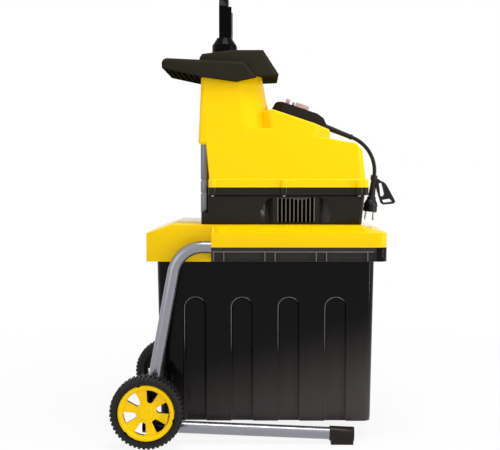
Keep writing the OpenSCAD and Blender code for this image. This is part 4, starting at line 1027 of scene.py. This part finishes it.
class SHREDDER_OT_plunger_shoulder(bpy.types.Operator):
    """Makes the sloped shoulder between the plunger and its grip."""

    bl_idname = "shredder.plunger_shoulder"
    bl_label = "Plunger shoulder"

    def execute(self, context):
        skin = finishes(context.scene.shredder_looks)["plunger_pp"]
        # Height, thickness and width of a bar with round ends, lofted upwards. Each end is a half
        # circle: t / 2 times cos a and sin a about a centre that is (w - t) / 2 out.
        rows = np.array(
            [
                [917, 59, 150], [919.5, 59, 150], [921.5, 58, 149], [923, 56, 147], [936, 38, 129],
                [938, 36.4, 127], [939, 34, 124],
            ]
        )
        a = np.radians(np.arange(0, 360, 7.5) + 3.75)
        ends = np.where(np.sin(a) > 0, 1, -1)
        z, t, w = rows.T[:, :, None]
        x = PLUNGER_X + t / 2 * np.cos(a)
        y = t / 2 * np.sin(a) + ends * (w - t) / 2
        shell = capped(np.stack([x, y, np.broadcast_to(z, x.shape)], -1))
        make_piece("plunger_shoulder", [shell], skin, "plunger", [], 40)
        return {"FINISHED"}


class SHREDDER_OT_dress(bpy.types.Operator):
    """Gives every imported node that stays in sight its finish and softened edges."""

    bl_idname = "shredder.dress"
    bl_label = "Finishes"

    # Finish, width of the softened edges in millimetres, nodes.
    TABLE = (
        ("yellow_abs", 2.2, "deck_cover"),
        ("rail_pp", 1.2, "side_rail_right side_rail_left"),
        ("black_pp", 1.2, "base_housing"),
        ("black_pp", 1.6, "foot_right foot_left axle_bracket_right axle_bracket_left switch_box"),
        ("black_pp", 0.6, "selector_knob interlock_switch gear_cover"),
        ("hopper_pp", 2.0, "hopper"),
        ("plunger_pp", 2.5, "plunger_grip"),
        ("plunger_pp", 1.0, "plunger_body"),
        ("hopper_pp", 1.0, "inlet_chute"),
        ("box_pe", 2.2, "collection_box"),
        ("wheel_pp", 0.8, "wheel_disc_right wheel_disc_left"),
        ("cast_alloy", 1.0, "front_plate"),
        ("cast_alloy", 0.0, "cutter_housing motor_can gear_plate"),
        ("turned_steel", 0.4, "axle axle_clips deck_screws seam_screws"),
        ("turned_steel", 0.4, "adjusting_screw counter_plate"),
        ("turned_steel", 0.0, "cutting_roller roller_bearings motor_rotor gear_pins"),
        ("turned_steel", 0.0, "first_gear second_gear output_gear"),
        ("stator_varnish", 0.0, "motor_stator"),
        ("fan_nylon", 0.0, "motor_fan"),
        ("pale_case", 0.8, "capacitor"),
        ("red_abs", 1.0, "box_lock stop_button"),
        ("clear_acrylic", 1.0, "stop_flap"),
        ("green_abs", 0.8, "start_button"),
        ("pink_acrylic", 0.8, "reset_cap"),
        ("lead_pvc", 1.2, "lead_hook lead_sleeve mains_lead plug"),
        ("pin_nickel", 0.0, "plug_pins"),
        ("zinc_tube", 0.0, "frame_tube_right frame_tube_left lower_tube_right lower_tube_left"),
        ("yellow_abs", 0.0, "upper_housing wheel_cap_right wheel_cap_left"),
        ("black_rubber", 0.0, "tyre_right tyre_left"),
    )

    def execute(self, context):
        made = finishes(context.scene.shredder_looks)
        for finish, width, nodes in self.TABLE:
            for name in nodes.split():
                self.dress(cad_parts[name], made[finish], width)
        return {"FINISHED"}

    def dress(self, node, material, width):
        """One finish on the whole node. Softening joins its loose triangles, merges flat ones and
        rounds every edge that turns by more than 30 degrees."""
        node.data.materials.clear()
        node.data.materials.append(material)
        if width == 0:
            return
        joined = node.modifiers.new("joined", "WELD")
        joined.merge_threshold = 2e-5
        flat = node.modifiers.new("flat", "DECIMATE")
        flat.decimate_type, flat.angle_limit = "DISSOLVE", np.radians(0.5)
        edge = node.modifiers.new("edge", "BEVEL")
        edge.width, edge.segments = width * MM, 3
        edge.limit_method, edge.angle_limit = "ANGLE", np.radians(30)
        edge.use_clamp_overlap = True
        edge.harden_normals = True
        node.data.polygons.foreach_set("use_smooth", np.ones(len(node.data.polygons), bool))


class SHREDDER_PT_panel(bpy.types.Panel):
    """Lists the pieces and their settings in the sidebar."""

    bl_idname = "SHREDDER_PT_panel"
    bl_label = "Garden shredder"
    bl_space_type = "VIEW_3D"
    bl_region_type = "UI"
    bl_category = "Shredder"

    def draw(self, context):
        for kind in STEPS:
            self.layout.operator(kind.bl_idname)
        for group in (context.scene.shredder_looks, context.scene.shredder_stage):
            for name in group.__annotations__:
                self.layout.prop(group, name)


STEPS = (
    SHREDDER_OT_stage,
    SHREDDER_OT_lead,
    SHREDDER_OT_tubes,
    SHREDDER_OT_tyres,
    SHREDDER_OT_wheel_caps,
    SHREDDER_OT_tower_skin,
    SHREDDER_OT_box_walls,
    SHREDDER_OT_painted_edges,
    SHREDDER_OT_hopper_sides,
    SHREDDER_OT_plunger_shoulder,
    SHREDDER_OT_dress,
)
CLASSES = (ShredderLooks, ShredderStage, *STEPS, SHREDDER_PT_panel)


def register():
    """Registers the classes and hangs their settings on the scene."""
    for kind in CLASSES:
        bpy.utils.register_class(kind)
    bpy.types.Scene.shredder_looks = bpy.props.PointerProperty(type=ShredderLooks)
    bpy.types.Scene.shredder_stage = bpy.props.PointerProperty(type=ShredderStage)


def unregister():
    """Takes the settings and the classes away again."""
    del bpy.types.Scene.shredder_stage
    del bpy.types.Scene.shredder_looks
    for kind in reversed(CLASSES):
        bpy.utils.unregister_class(kind)


def main():
    """Makes every piece in order."""
    register()
    bpy.ops.shredder.stage()
    bpy.ops.shredder.lead()
    bpy.ops.shredder.tubes()
    bpy.ops.shredder.tyres()
    bpy.ops.shredder.wheel_caps()
    bpy.ops.shredder.tower_skin()
    bpy.ops.shredder.box_walls()
    bpy.ops.shredder.worn_edges()
    bpy.ops.shredder.hopper_sides()
    bpy.ops.shredder.plunger_shoulder()
    bpy.ops.shredder.dress()


if __name__ == "__main__":
    main()
